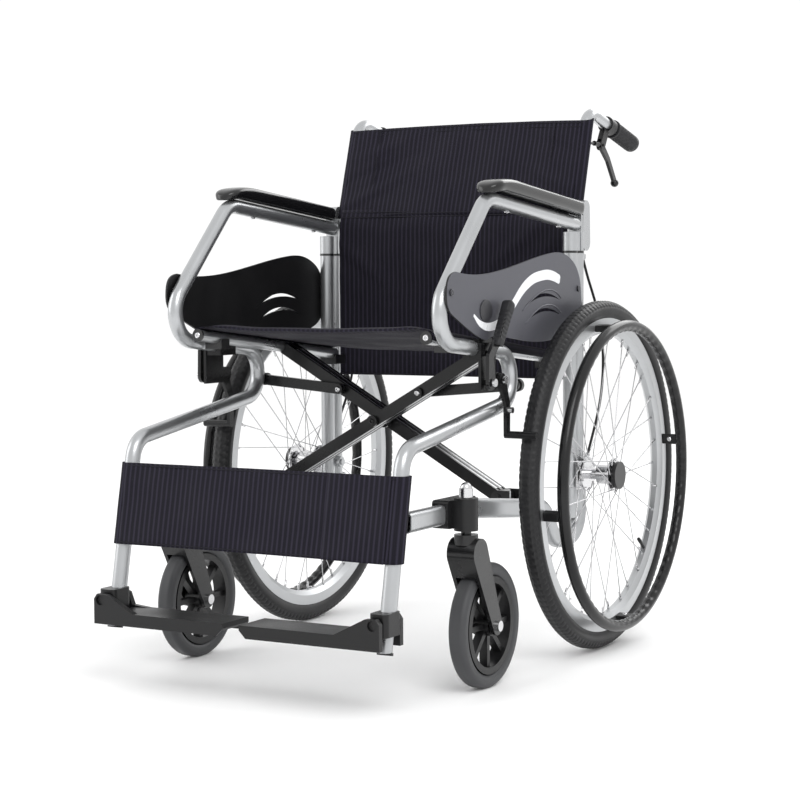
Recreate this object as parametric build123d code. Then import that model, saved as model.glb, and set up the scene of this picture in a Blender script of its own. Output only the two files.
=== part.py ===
"""Folding manual wheelchair with steel-spoked rear wheels, swivel casters and a cross-braced frame.

Millimetres, +Z up, +X to the chair's left, -Y to its front. Lengths along Y and Z are first given
from the rear axle's plane and from the ground, and export() moves everything so that the origin
lies under the middle of the chair. "Left" pieces are modelled on +X and mirrored for the right.
"""
import os
from math import atan2, cos, degrees, hypot, radians, sin, sqrt, tan

from build123d import *

# ---- overall layout
FRAME_X = 250.0          # centre plane of a side frame
TUBE_R = 12.5            # side frame tube
TUBE_WALL = 1.5
WHEEL_R = 305.0          # rear tyre, 24 inch
WHEEL_GAP = 40.5         # from the side tube's surface out to the tyre's centre plane
PUSHRIM_OFFSET = 48.0    # hand rim's plane outside the tyre's
CASTER_R = 100.0         # caster tyre, 8 inch
CASTER_OFFSET = 28.6     # caster's plane outside the side frame's
STEM_Y = -463.0          # caster stem
CASTER_TRAIL = 62.0
SEAT_RAIL_R = 10.0
SEAT_RAIL_OFFSET = 33.0  # seat rail's axis inside the side frame's plane
SEAT_FRONT = (-475.0, 557.0)
SEAT_REAR_Y = -44.0
SEAT_SLOPE = radians(6.0)
BACK_HINGE = (28.5, 752.0)
BACK_HEIGHT = 197.0      # hinge to the bend of the push handle, in Z
BACK_RECLINE = radians(16.8)
CANE_OFFSET = 13.0       # back cane's axis inside the side frame's plane
CANE_R = 11.0
HANDLE_DROP = radians(13.5)
HANDLE_LENGTH = 207.0
FOOT_GAP = 30.0          # between the two footplates

# ---- clearances
RUN = 0.05               # radial, pin in bore
FIT = 0.05               # between pieces of one body that sit against each other
CLEAR = 0.4              # between pieces that move past each other

# ---- side frame: one bent tube, (y, z) corners and bend radii from the back post to the foot
ARM_REAR_Y = 5.5
ARM_CORNER = (-338.0, 778.0)
FRONT_CORNER = (-553.0, 556.0)
UNDER_SEAT = (-251.0, 526.0)
HANGER_REAR = (-251.0, 447.0)
KNEE = (-610.0, 392.0)
LEG_SLOPE = 0.195        # forward run of the leg tube for each unit down
LEG_BOTTOM_Z = 150.0
ARM_SLOPE = 0.098
FRAME_BENDS = (45.0, 50.0, 43.0, 40.0, 40.0)

# ---- rear post and lower rail
POST_LOBE_Y = 13.5
POST_TOP_Z = 693.0
COLLAR_HEIGHT = 4.0
COLLAR_LIP = 0.6         # how far the collar stands out from the upright
HINGE_LIP = 0.4          # how far the hinge block's foot stands out from the upright
POST_FRONT_BOTTOM_Z = 228.0
POST_REAR_BOTTOM_Z = 282.0
RAIL_WIDTH = 20.0
RAIL_HEIGHT = 32.0
RAIL_PATH = ((-604.0, 283.5), (-395.0, 284.0), (-122.0, 256.0), (-82.0, 196.0), (25.0, 196.0), (22.0, 281.2))
RAIL_BENDS = (220.0, 55.0, 42.0, 42.0)
AXLE_R = 6.0
HUB_BORE_R = AXLE_R + RUN

# ---- folding cross
PIVOT_Z = 282.0          # lower pivots, straight under the seat rails
CENTRE_Z = 407.0         # where the braces cross
BRACE_HEIGHT = 20.0
BRACE_DEPTH = 34.0
BRACE_FRONT_Y = -272.0
LINK_GAP = 10.0          # between the two braces, where the stabiliser links run
PIN_R = 6.0
LINK_PIVOT_Z = 471.9
LINK_REACH = 148.0       # along a brace, from its seat rail to the link's bolt
LINK_WIDTH = 18.0

# ---- footrests
FOOT_HINGE_Z = 143.0
PLATE_FRONT_Y = -706.0
PLATE_REAR_Y = -634.0
PLATE_TOP_Z = 125.0
PLATE_BOTTOM_Z = 105.0
PLATE_CHAMFER = 12.0     # inner lower corner, so that the plates pass each other while the chair folds
FOOT_PIN_R = 4.0

# ---- parking brake
BRAKE_PIVOT = (-377.0, 484.0)
SHOE_PIVOT = (-326.0, 486.0)
SHOE_RISE = 91.0         # shoe bar above the axle
SHOE_REACH = 14.2444     # shoe bar's axis outside the tyre
SHOE_BAR_R = 6.0

# ---- worked out
WHEEL_X = FRAME_X + TUBE_R + WHEEL_GAP
PUSHRIM_X = WHEEL_X + PUSHRIM_OFFSET
CASTER_X = FRAME_X + CASTER_OFFSET
SEAT_RAIL_X = FRAME_X - SEAT_RAIL_OFFSET
CANE_X = FRAME_X - CANE_OFFSET
CASTER_AXLE_Y = STEM_Y + CASTER_TRAIL
TOP_Z = 2 * CENTRE_Z - PIVOT_Z
BRACE_HALF = hypot(SEAT_RAIL_X, CENTRE_Z - PIVOT_Z)
BRACE_ANGLE = atan2(CENTRE_Z - PIVOT_Z, SEAT_RAIL_X)
FRONT_BRACE_Y = BRACE_FRONT_Y + BRACE_DEPTH / 2
REAR_BRACE_Y = FRONT_BRACE_Y + BRACE_DEPTH + LINK_GAP
LINK_Y = (FRONT_BRACE_Y + REAR_BRACE_Y) / 2
MID_Y = -(PLATE_FRONT_Y + WHEEL_R) / 2
SHOE_BAR = (-sqrt((WHEEL_R + SHOE_REACH) ** 2 - SHOE_RISE ** 2), WHEEL_R + SHOE_RISE)


def seat_rail_z(y):
    """Height of a seat rail's axis at y."""
    return SEAT_FRONT[1] - (y - SEAT_FRONT[0]) * tan(SEAT_SLOPE)


def leg_y(z):
    """Where the leg tube's axis is at height z."""
    return KNEE[0] - (KNEE[1] - z) * LEG_SLOPE


def arm_z(y):
    """Height of the armrest tube's axis at y."""
    return ARM_CORNER[1] - (y - ARM_CORNER[0]) * ARM_SLOPE


def cane_point(rise):
    """A point (y, z) of the back cane's axis, at a height above its hinge."""
    return BACK_HINGE[0] + rise * tan(BACK_RECLINE), BACK_HINGE[1] + rise


def handle_point(run):
    """A point (y, z) of the push handle's axis, at a distance behind the cane's bend."""
    y, z = cane_point(BACK_HEIGHT)
    return y + run * cos(HANDLE_DROP), z - run * sin(HANDLE_DROP)


# ---- building blocks
FROM_BASE = (Align.CENTER, Align.CENTER, Align.MIN)


def x_rod(radius, x0, x1, y, z):
    """A cylinder along X."""
    return Plane(origin=(x0, y, z), z_dir=(1, 0, 0)) * Cylinder(radius, x1 - x0, align=FROM_BASE)


def y_rod(radius, y0, y1, x, z):
    """A cylinder along Y."""
    return Plane(origin=(x, y0, z), z_dir=(0, 1, 0)) * Cylinder(radius, y1 - y0, align=FROM_BASE)


def z_rod(radius, z0, z1, x, y):
    """A cylinder along Z."""
    return Pos(x, y, z0) * Cylinder(radius, z1 - z0, align=FROM_BASE)


def rod(radius, start, end):
    """A cylinder between two points."""
    axis = Vector(*end) - Vector(*start)
    return Plane(origin=start, z_dir=axis) * Cylinder(radius, axis.length, align=FROM_BASE)


def block(x0, x1, y0, y1, z0, z1):
    """An upright box between two corners."""
    return Pos((x0 + x1) / 2, (y0 + y1) / 2, (z0 + z1) / 2) * Box(x1 - x0, y1 - y0, z1 - z0)


def side_plate(outline, x0, x1):
    """A plate in the YZ plane, from a sketch drawn with x as y and y as z."""
    return extrude(Plane(origin=(x0, 0, 0), x_dir=(0, 1, 0), z_dir=(1, 0, 0)) * outline, amount=x1 - x0)


def front_plate(outline, y0, y1):
    """A plate in the XZ plane, from a sketch drawn with y as z."""
    return extrude(Plane(origin=(0, y1, 0), x_dir=(1, 0, 0), z_dir=(0, -1, 0)) * outline, amount=y1 - y0)


def bent_path(points, bends, x):
    """Straight runs and arcs through (y, z) corners in the plane at x."""
    return FilletPolyline(*[(x, y, z) for y, z in points], radius=bends)


def swept(path, sketch):
    """A sketch swept along a path that starts at its origin, with the sketch's x along X."""
    start = Plane(origin=path @ 0, x_dir=(1, 0, 0), z_dir=path % 0)
    return sweep(start * sketch, path=path)


def tube(path, radius, wall):
    """A round tube along a path."""
    return swept(path, Circle(radius)) - swept(path, Circle(radius - wall))


def ring(outline, x, y, z):
    """A body of revolution about an X axis, from a sketch with x along X and y as the radius."""
    sketch = Plane(origin=(x, y, z), x_dir=(1, 0, 0), z_dir=(0, 0, 1)) * outline
    return revolve(sketch, axis=Axis((x, y, z), (1, 0, 0)))


def group(*pieces):
    """Separate solids in one sub-part."""
    return Compound([solid for piece in pieces for solid in piece.solids()])


def tapered(y0, z0, r0, y1, z1, r1):
    """A round-ended outline that tapers from one circle to another."""
    return make_hull([*(Pos(y0, z0) * Circle(r0)).edges(), *(Pos(y1, z1) * Circle(r1)).edges()])


# ---- side frame
def side_frame():
    """The bent tube from armrest to foot, with its seat rests and the stabiliser link's stud."""
    points = [(ARM_REAR_Y, arm_z(ARM_REAR_Y)), ARM_CORNER, FRONT_CORNER, UNDER_SEAT, HANGER_REAR, KNEE,
              (leg_y(LEG_BOTTOM_Z), LEG_BOTTOM_Z)]
    path = bent_path(points, FRAME_BENDS, FRAME_X)
    outer = swept(path, Circle(TUBE_R))
    shell = outer - swept(path, Circle(TUBE_R - TUBE_WALL))
    stud_start = UNDER_SEAT[0] + TUBE_R - TUBE_WALL
    link_back = LINK_Y + LINK_GAP / 2 - CLEAR
    stud = y_rod(FOOT_PIN_R, stud_start, link_back + 8, FRAME_X, LINK_PIVOT_Z)
    stud -= swept(path, Circle(TUBE_R - TUBE_WALL))
    cap = y_rod(11, link_back + 0.5, link_back + 9, FRAME_X, LINK_PIVOT_Z)
    cap -= y_rod(FOOT_PIN_R + RUN, link_back, link_back + 8 + FIT, FRAME_X, LINK_PIVOT_Z)
    front_rest = seat_rest(-428.0, -404.0, FRAME_X) - swept(path, Circle(TUBE_R + FIT))
    return group(shell + stud, cap, front_rest)


def seat_rest(y0, y1, x1):
    """A saddle that a seat rail lies in, open upwards."""
    x0 = SEAT_RAIL_X - SEAT_RAIL_R - 3
    low = seat_rail_z(y1) - SEAT_RAIL_R - 7
    saddle = block(x0, x1, y0, y1, low, seat_rail_z(y1))
    return saddle - rail_bar(SEAT_RAIL_R + 0.35, y0 - 5, y1 + 20)


def rail_bar(radius, y0, y1):
    """A bar on the left seat rail's axis."""
    return rod(radius, (SEAT_RAIL_X, y0, seat_rail_z(y0)), (SEAT_RAIL_X, y1, seat_rail_z(y1)))


def post_section(z0, z1, growth):
    """The upright's two-lobed section between two heights, larger all round by growth."""
    lobes = Pos(POST_LOBE_Y, 0) * Circle(TUBE_R + growth) + Pos(-POST_LOBE_Y, 0) * Circle(TUBE_R + growth)
    lobes += Rectangle(2 * POST_LOBE_Y, TUBE_R)
    return Pos(FRAME_X, 0, z0) * Rot(0, 0, 90) * extrude(lobes, amount=z1 - z0)


def rear_post():
    """Two-lobed upright, collar, hinge block of the back, axle plate and fixed axle."""
    upright = post_section(POST_REAR_BOTTOM_Z, POST_TOP_Z, 0)
    upright += z_rod(TUBE_R, POST_FRONT_BOTTOM_Z, POST_REAR_BOTTOM_Z, FRAME_X, -POST_LOBE_Y)
    upright -= x_rod(AXLE_R + FIT, FRAME_X - 30, FRAME_X + 30, 0, WHEEL_R)
    collar = post_section(POST_TOP_Z + FIT, POST_TOP_Z + FIT + COLLAR_HEIGHT, COLLAR_LIP)
    plate_x0 = FRAME_X + TUBE_R + FIT
    plate = block(plate_x0, plate_x0 + 4, -16, 18, WHEEL_R - 27, WHEEL_R + 21)
    plate += gland(LOWER_CABLE[-1], LOWER_CABLE[-2], 12)
    plate += block(plate_x0, plate_x0 + 4, 8, 26, WHEEL_R + 10, WHEEL_R + 24)
    plate -= x_rod(AXLE_R + FIT, plate_x0 - 1, plate_x0 + 8, 0, WHEEL_R)
    stop = gland(LOWER_CABLE[0], LOWER_CABLE[1], 12) + block(FRAME_X - 6, FRAME_X + 8, 14, 36, 684, 691)
    stop -= z_rod(TUBE_R + FIT, 600, POST_TOP_Z, FRAME_X, POST_LOBE_Y)
    axle_end = FLANGES[1] + 10
    axle = x_rod(AXLE_R, FRAME_X - TUBE_R - 12, axle_end, 0, WHEEL_R)
    axle += x_rod(10, FRAME_X - TUBE_R - 9, FRAME_X - TUBE_R - FIT, 0, WHEEL_R)
    rear_rest = seat_rest(-60.0, -24.0, FRAME_X - 4)
    rear_rest -= z_rod(TUBE_R + FIT, 0, POST_TOP_Z, FRAME_X, -POST_LOBE_Y)
    return group(upright, collar, hinge_block(), plate, stop, axle, rear_rest)


def gland(end, before, length):
    """Sleeve that a cable's end butts against, in line with the cable's last run."""
    point, previous = Vector(*end), Vector(*before)
    onward = (point - previous).normalized()
    start, finish = point + onward * FIT, point + onward * length
    return rod(4.4, tuple(start), tuple(finish))


def hinge_block():
    """Casting on top of the post that holds the armrest tube's end and the back's hinge pin."""
    y, z = BACK_HINGE
    base_z = POST_TOP_Z + COLLAR_HEIGHT + 2 * FIT
    outer_x = FRAME_X + TUBE_R
    cheek_x = CANE_X + CANE_R + CLEAR
    base = post_section(base_z, z - TUBE_R - 10, HINGE_LIP)
    neck = block(FRAME_X - TUBE_R, outer_x, ARM_REAR_Y + FIT, y - 16, base_z, z + 8)
    cheek = side_plate(tapered(y, z + 20, 14, y, base_z + 16, 16), cheek_x, outer_x)
    barrel_x = CANE_X - CANE_R
    pin = x_rod(5, barrel_x - 1, cheek_x + 2, y, z) + x_rod(8, barrel_x - 4, barrel_x - 0.6, y, z)
    barrel_room = x_rod(14.5, barrel_x - 3, cheek_x, y, z)
    arm_end = (FRAME_X, ARM_REAR_Y + FIT, arm_z(ARM_REAR_Y))
    arm_room = rod(TUBE_R + FIT, (FRAME_X, -40.0, arm_z(-40.0)), arm_end)
    return base + neck + cheek - barrel_room - arm_room + pin


def lower_rail():
    """Flat-sided lower rail, hooked up under the rear post, with the brace's pivot ears."""
    path = bent_path(RAIL_PATH, RAIL_BENDS, FRAME_X)
    rail = swept(path, RectangleRounded(RAIL_WIDTH, RAIL_HEIGHT, 8))
    rail -= swept(path, RectangleRounded(RAIL_WIDTH - 4, RAIL_HEIGHT - 4, 6))
    leg = rod(TUBE_R + FIT, (FRAME_X, leg_y(400), 400), (FRAME_X, leg_y(200), 200))
    return rail - leg


def pivot_ears(brace_y):
    """Two ears on the lower rail and the pin that a brace turns on."""
    half = BRACE_DEPTH / 2
    outline = Pos(SEAT_RAIL_X, PIVOT_Z) * Circle(13)
    reach = SEAT_RAIL_OFFSET - RAIL_WIDTH / 2
    outline += Pos(SEAT_RAIL_X + reach / 2, PIVOT_Z) * Rectangle(reach, 26)
    ears = front_plate(outline, brace_y - half - CLEAR - 4, brace_y - half - CLEAR)
    ears += front_plate(outline, brace_y + half + CLEAR, brace_y + half + CLEAR + 4)
    pin = y_rod(PIN_R, brace_y - half - 8, brace_y + half + 8, SEAT_RAIL_X, PIVOT_Z)
    return ears + pin


def foot_hinge():
    """Inner foot tube with the black hinge hub, its pin and the end cap."""
    top, bottom = LEG_BOTTOM_Z + 25, PLATE_BOTTOM_Z - 7
    inner = rod(TUBE_R - TUBE_WALL - 0.3, (FRAME_X, leg_y(top), top), (FRAME_X, leg_y(bottom), bottom))
    hub_y = leg_y(FOOT_HINGE_Z)
    hub = block(FRAME_X - 15.5, FRAME_X + 15.5, hub_y - 32, PLATE_REAR_Y - 10,
                FOOT_HINGE_Z - 20, LEG_BOTTOM_Z + 8)
    hub = fillet(hub.edges().filter_by(Axis.Z), 9)
    leg_end = LEG_BOTTOM_Z - FIT
    hub -= rod(TUBE_R + FIT, (FRAME_X, leg_y(leg_end), leg_end), (FRAME_X, leg_y(300), 300))
    hub -= rod(TUBE_R - TUBE_WALL - 0.3 + FIT, (FRAME_X, leg_y(300), 300), (FRAME_X, leg_y(50), 50))
    hub -= y_rod(FOOT_PIN_R + FIT, PLATE_FRONT_Y, PLATE_REAR_Y, FRAME_X, FOOT_HINGE_Z)
    inner -= y_rod(FOOT_PIN_R + FIT, PLATE_FRONT_Y, PLATE_REAR_Y, FRAME_X, FOOT_HINGE_Z)
    pin = y_rod(FOOT_PIN_R, PLATE_FRONT_Y + 4, PLATE_REAR_Y - 2, FRAME_X, FOOT_HINGE_Z)
    cap = rod(TUBE_R, (FRAME_X, leg_y(bottom - FIT), bottom - FIT), (FRAME_X, leg_y(bottom - 4), bottom - 4))
    return group(inner, hub, pin, cap)


def footplate():
    """Moulded tray with two triangular ears that turn on the foot hinge's pin."""
    inner_x, outer_x = FOOT_GAP / 2, FRAME_X + 12
    tray = block(inner_x, outer_x, PLATE_FRONT_Y, PLATE_REAR_Y, PLATE_BOTTOM_Z, PLATE_TOP_Z)
    tray -= block(inner_x + 4, outer_x + 9, PLATE_FRONT_Y + 4, PLATE_REAR_Y - 4,
                  PLATE_BOTTOM_Z - 1, PLATE_TOP_Z - 5)
    corner = Polyline((inner_x - 1, PLATE_BOTTOM_Z - 1), (inner_x - 1, PLATE_BOTTOM_Z + PLATE_CHAMFER),
                      (inner_x, PLATE_BOTTOM_Z + PLATE_CHAMFER), (inner_x + PLATE_CHAMFER, PLATE_BOTTOM_Z),
                      (inner_x + PLATE_CHAMFER, PLATE_BOTTOM_Z - 1), close=True)
    tray -= front_plate(make_face(corner), PLATE_FRONT_Y - 1, PLATE_REAR_Y + 1)
    for x in (inner_x + 55, inner_x + 110, inner_x + 165):
        tray += block(x - 1.5, x + 1.5, PLATE_FRONT_Y + 2, PLATE_REAR_Y - 2,
                      PLATE_BOTTOM_Z + 2, PLATE_TOP_Z - 3)
    gusset = [(FRAME_X - 70, PLATE_TOP_Z - 2), (FRAME_X - 13, FOOT_HINGE_Z + 9)]
    step = [(FRAME_X - 70, PLATE_TOP_Z - 2), (FRAME_X - 16, PLATE_TOP_Z + 3), (FRAME_X - 8, FOOT_HINGE_Z + 5)]
    common = [(FRAME_X + 6, FOOT_HINGE_Z + 10), (outer_x, FOOT_HINGE_Z + 2), (outer_x, PLATE_BOTTOM_Z),
              (FRAME_X - 70, PLATE_BOTTOM_Z)]
    front_ear = make_face(Polyline(*gusset, *common, close=True))
    rear_ear = make_face(Polyline(*step, *common, close=True))
    ears = front_plate(front_ear, PLATE_FRONT_Y, PLATE_FRONT_Y + 10)
    ears += front_plate(rear_ear, PLATE_REAR_Y - 9.5, PLATE_REAR_Y)
    low = PLATE_BOTTOM_Z - 20
    notch = block(FRAME_X - 22, FRAME_X + 40, PLATE_FRONT_Y + 10, PLATE_REAR_Y - 9.5, low, FOOT_HINGE_Z + 20)
    plate = tray + ears - notch
    plate -= y_rod(FOOT_PIN_R + RUN, PLATE_FRONT_Y + 3, PLATE_REAR_Y + 1, FRAME_X, FOOT_HINGE_Z)
    return plate - y_rod(8, PLATE_FRONT_Y - 1, PLATE_FRONT_Y + 3.5, FRAME_X, FOOT_HINGE_Z)


# ---- armrest and side guard
def armrest_pad():
    """Padded armrest on the tube, and its two screws from below."""
    def top(y):
        return arm_z(y) + TUBE_R + 26
    seat = TUBE_R + 0.3
    rear_y, front_y = 4.0, -352.0
    outline = Polyline((rear_y, arm_z(rear_y) + seat), (rear_y, top(rear_y) - 4),
                       (rear_y - 8, top(rear_y - 8)), (-285.0, top(-285.0)), (-325.0, top(-325.0) - 9),
                       (front_y, 797.0), (front_y + 2, 788.0), (-330.0, arm_z(-330.0) + seat + 2), close=True)
    body = side_plate(make_face(outline), FRAME_X - 19.5, FRAME_X + 28.5)
    plan = Pos(FRAME_X + 4.5, (rear_y + front_y) / 2) * RectangleRounded(48, rear_y - front_y, 20)
    body = body & Pos(0, 0, 700) * extrude(plan, amount=150)
    screws = [z_rod(4.5, arm_z(y) - TUBE_R - 3, arm_z(y) - TUBE_R - 0.6, FRAME_X, y) for y in (-262.0, -62.0)]
    return group(body, *screws)


def side_guard():
    """Flat clothes guard outside the tubes, with its two curved slots and two screws."""
    x0 = FRAME_X + TUBE_R + CLEAR
    x1 = x0 + 3.5
    top = Spline((-470.0, 660.0), (-361.0, 657.5), (-244.0, 674.0), (-113.0, 693.0))
    shoulder = Spline((-113.0, 693.0), (-50.0, 684.0), (-3.0, 615.0), tangents=((1, 0.05), (0, -1)))
    under = Spline((-3.0, 615.0), (-60.0, 556.0), (-200.0, 544.0), (-349.0, 556.0), (-480.0, 592.0),
                   tangents=((0, -1), (-1, 0.45)))
    nose = Spline((-480.0, 592.0), (-500.0, 629.0), (-470.0, 660.0), tangents=((-1, 0.45), (1, 0.1)))
    guard = side_plate(make_face(Curve() + [top, shoulder, under, nose]), x0, x1)
    for low, rise, reach in ((575.0, 12.0, 132.0), (597.0, 15.0, 142.0)):
        lens = ThreePointArc((-95.0 - reach, low), (-150.0, low + rise + 12), (-92.0, low + rise))
        back = ThreePointArc((-92.0, low + rise), (-150.0, low + rise + 6.5), (-95.0 - reach, low))
        guard -= side_plate(make_face(Curve() + [lens, back]), x0 - 1, x1 + 1)
    screws = [x_rod(5, x1 + FIT, x1 + 2.5, y, z) for y, z in ((-487.0, 628.0), (-16.0, 631.0))]
    return group(guard, *screws)


# ---- casters
def caster_housing():
    """Clamp block on the lower rail that carries the caster's stem."""
    body = block(FRAME_X - 14, FRAME_X + 14, STEM_Y - 33, STEM_Y + 62, 262, 306)
    body = fillet(body.edges().filter_by(Axis.X), 6)
    body += z_rod(19, 258, 309, CASTER_X, STEM_Y)
    body += block(FRAME_X, CASTER_X, STEM_Y - 19, STEM_Y + 19, 262, 306)
    path = bent_path(RAIL_PATH, RAIL_BENDS, FRAME_X)
    body -= swept(path, RectangleRounded(RAIL_WIDTH + 2 * FIT, RAIL_HEIGHT + 2 * FIT, 8 + FIT))
    body -= z_rod(8 + RUN, 250, 320, CASTER_X, STEM_Y)
    bolts = [x_rod(6, FRAME_X + 14 + FIT, FRAME_X + 19, STEM_Y + run, 284) for run in (32, 50)]
    return group(body, *bolts)


def caster_fork():
    """Fork with its stem, acorn nut and axle bolt."""
    half_gap, half_width = 18.0, 24.0
    outline = tapered(STEM_Y + 4, 222, 24, CASTER_AXLE_Y, CASTER_R, 15)
    fork = side_plate(outline, CASTER_X - half_width, CASTER_X + half_width)
    fork -= x_rod(CASTER_R + 4, CASTER_X - half_gap, CASTER_X + half_gap, CASTER_AXLE_Y, CASTER_R)
    fork += z_rod(19, 236, 252, CASTER_X, STEM_Y)
    fork += z_rod(8, 248, 316, CASTER_X, STEM_Y)
    fork -= x_rod(5 + FIT, CASTER_X - 40, CASTER_X + 40, CASTER_AXLE_Y, CASTER_R)
    nut = z_rod(11, 310, 324, CASTER_X, STEM_Y) + Pos(CASTER_X, STEM_Y, 324) * Sphere(9.5)
    nut -= z_rod(8 + FIT, 300, 316 + FIT, CASTER_X, STEM_Y)
    axle = x_rod(5, CASTER_X - half_width - 3, CASTER_X + half_width + 3, CASTER_AXLE_Y, CASTER_R)
    for side in (-1, 1):
        face = CASTER_X + side * (half_width + FIT)
        axle += x_rod(8.5, min(face, face + side * 5), max(face, face + side * 5), CASTER_AXLE_Y, CASTER_R)
    return group(fork, nut, axle)


def caster_wheel():
    """Moulded caster wheel with eight ribs."""
    x, y, z = CASTER_X, CASTER_AXLE_Y, CASTER_R
    hub = x_rod(17, x - 15, x + 15, y, z)
    rim = x_rod(CASTER_R - 22 - FIT, x - 13, x + 13, y, z) - x_rod(CASTER_R - 33, x - 14, x + 14, y, z)
    disc = Plane(origin=(x, y, z), z_dir=(1, 0, 0))
    rib_start, rib_end = 15.0, CASTER_R - 31
    rib = Pos(0, (rib_start + rib_end) / 2, 0) * Box(9, rib_end - rib_start, 14)
    ribs = [disc * Rot(0, 0, 45 * n) * rib for n in range(8)]
    wheel = hub + rim + ribs
    return wheel - x_rod(5 + RUN, x - 20, x + 20, y, z)


def caster_tyre():
    """Solid caster tyre."""
    section = Pos(0, CASTER_R - 11) * RectangleRounded(30, 22, 9)
    seat = x_rod(CASTER_R - 22, CASTER_X - 13 - FIT, CASTER_X + 13 + FIT, CASTER_AXLE_Y, CASTER_R)
    return ring(section, CASTER_X, CASTER_AXLE_Y, CASTER_R) - seat


# ---- rear wheel
TYRE_WIDTH = 35.0
RIM_WIDTH = 24.0
RIM_DEPTH = 26.0
FLANGE_R = 29.5
FLANGES = (WHEEL_X - 25.0, WHEEL_X + 25.0)
SPOKES = 36
SPOKE_R = 0.9


def rear_tyre():
    """Tyre carcass."""
    section = Pos(0, WHEEL_R - TYRE_WIDTH / 2) * Circle(TYRE_WIDTH / 2)
    return ring(section, WHEEL_X, 0, WHEEL_R)


def rear_rim():
    """Box-section rim with a round seat for the tyre."""
    outer = WHEEL_R - TYRE_WIDTH + 7
    inner = outer - RIM_DEPTH - 3
    section = Polyline((-RIM_WIDTH / 2, outer), (RIM_WIDTH / 2, outer), (RIM_WIDTH / 2, inner + 9),
                       (5, inner), (-5, inner), (-RIM_WIDTH / 2, inner + 9), close=True)
    rim = ring(make_face(section), WHEEL_X, 0, WHEEL_R)
    seat = Pos(0, WHEEL_R - TYRE_WIDTH / 2) * Circle(TYRE_WIDTH / 2 + 2 * FIT)
    return rim - ring(seat, WHEEL_X, 0, WHEEL_R)


def rear_hub():
    """Hub shell with two flanges, and the outer cap over the axle's end."""
    start, end = FLANGES
    body = x_rod(9, start - 10, end + 6, 0, WHEEL_R) + x_rod(17, end - 28, end - 6, 0, WHEEL_R)
    body += x_rod(14, start - 10, start - 5, 0, WHEEL_R)
    for x in FLANGES:
        body += x_rod(FLANGE_R, x - 1.5, x + 1.5, 0, WHEEL_R)
    body -= x_rod(HUB_BORE_R, start - 12, end + 8, 0, WHEEL_R)
    cap = x_rod(24, end + 6 + FIT, end + 12, 0, WHEEL_R)
    cap -= x_rod(HUB_BORE_R + 0.5, end, end + 10.5, 0, WHEEL_R)
    return group(body, cap)


def spokes():
    """Crossed spokes between the hub's flanges and the rim."""
    rim_r = WHEEL_R - TYRE_WIDTH + 7 - RIM_DEPTH - 3.2
    hub_r = FLANGE_R - 4
    pieces = []
    for n in range(SPOKES):
        side = n % 2
        lead = 1 if n // 2 % 2 else -1
        outward = 1 if side else -1
        rim_angle = radians(360 / SPOKES * n)
        hub_angle = rim_angle + lead * radians(64)
        offset_x = 3.6 if lead == outward else 2.7
        hub_x = FLANGES[side] + lead * offset_x
        rim_x = WHEEL_X + outward * 3 + lead * 1.5
        start = (hub_x, hub_r * cos(hub_angle), WHEEL_R + hub_r * sin(hub_angle))
        end = (rim_x, rim_r * cos(rim_angle), WHEEL_R + rim_r * sin(rim_angle))
        pieces.append(rod(SPOKE_R, start, end))
    return group(*pieces)


def pushrim():
    """Hand rim and the four brackets that hold it on the rim."""
    major = WHEEL_R - 44
    hoop = ring(Pos(0, major) * Circle(10), PUSHRIM_X, 0, WHEEL_R)
    tabs = []
    for n in range(4):
        start, end = WHEEL_X + RIM_WIDTH / 2 + FIT, PUSHRIM_X - 4
        spot = Pos((start + end) / 2, 0, WHEEL_R) * Rot(100 + 90 * n, 0, 0) * Pos(0, 0, major + 1)
        tabs.append(spot * Box(end - start, 20, 11) - hoop)
    return group(hoop, *tabs)


# ---- back canes and attendant brakes
def upper_cane():
    """Bent back tube with the hinge barrel at its foot."""
    y, z = BACK_HINGE
    path = bent_path([BACK_HINGE, cane_point(BACK_HEIGHT), handle_point(HANDLE_LENGTH)], [35.0], CANE_X)
    outer = swept(path, Circle(CANE_R)) + x_rod(13, CANE_X - CANE_R, CANE_X + CANE_R, y, z)
    bore_points = [cane_point(18), cane_point(BACK_HEIGHT), handle_point(HANDLE_LENGTH + 1)]
    bore = bent_path(bore_points, [35.0], CANE_X)
    outer -= swept(bore, Circle(CANE_R - TUBE_WALL))
    return outer - x_rod(5 + RUN, CANE_X - 20, CANE_X + 20, y, z)


def handle_span(start, end, radius):
    """A cylinder on the push handle's axis between two distances behind the bend."""
    return rod(radius, (CANE_X, *handle_point(start)), (CANE_X, *handle_point(end)))


def handle_grip():
    """Rubber grip with a closed end and a flare where it meets the brake's bracket."""
    grip = handle_span(112, HANDLE_LENGTH + 3, 16) + handle_span(112, 117, 17.5)
    return grip - handle_span(100, HANDLE_LENGTH + FIT, CANE_R + FIT)


LEVER_PIVOT = (148.0, 890.0)


def attendant_bracket():
    """Clamp round the push handle that carries the attendant's brake lever."""
    y, z = LEVER_PIVOT
    band = handle_span(84, 106, 15)
    arm = side_plate(tapered(*handle_point(86), 9, y, z, 9), CANE_X - 5, CANE_X + 5)
    arm -= handle_span(60, 108, CANE_R + 2)
    barrel = rod(4.5, (CANE_X, y - 8, z + 1), (CANE_X, y - 30, z + 2))
    body = band + arm + barrel
    slot = side_plate(tapered(y, z, 12, y + 26, z - 26, 14), CANE_X - 3 - CLEAR, CANE_X + 3 + CLEAR)
    body -= slot
    body -= handle_span(60, 120, CANE_R + FIT)
    body -= x_rod(2.5 + FIT, CANE_X - 10, CANE_X + 10, y, z)
    pin = x_rod(2.5, CANE_X - 7, CANE_X + 7, y, z)
    cane_room = rod(CANE_R + FIT, (CANE_X, *BACK_HINGE), (CANE_X, *cane_point(BACK_HEIGHT)))
    sleeve = gland(UPPER_CABLE[-1], UPPER_CABLE[-2], 14) + block(CANE_X - 5, CANE_X + 3, 48, 66, 812, 821)
    return group(body, pin, sleeve - cane_room)


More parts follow.
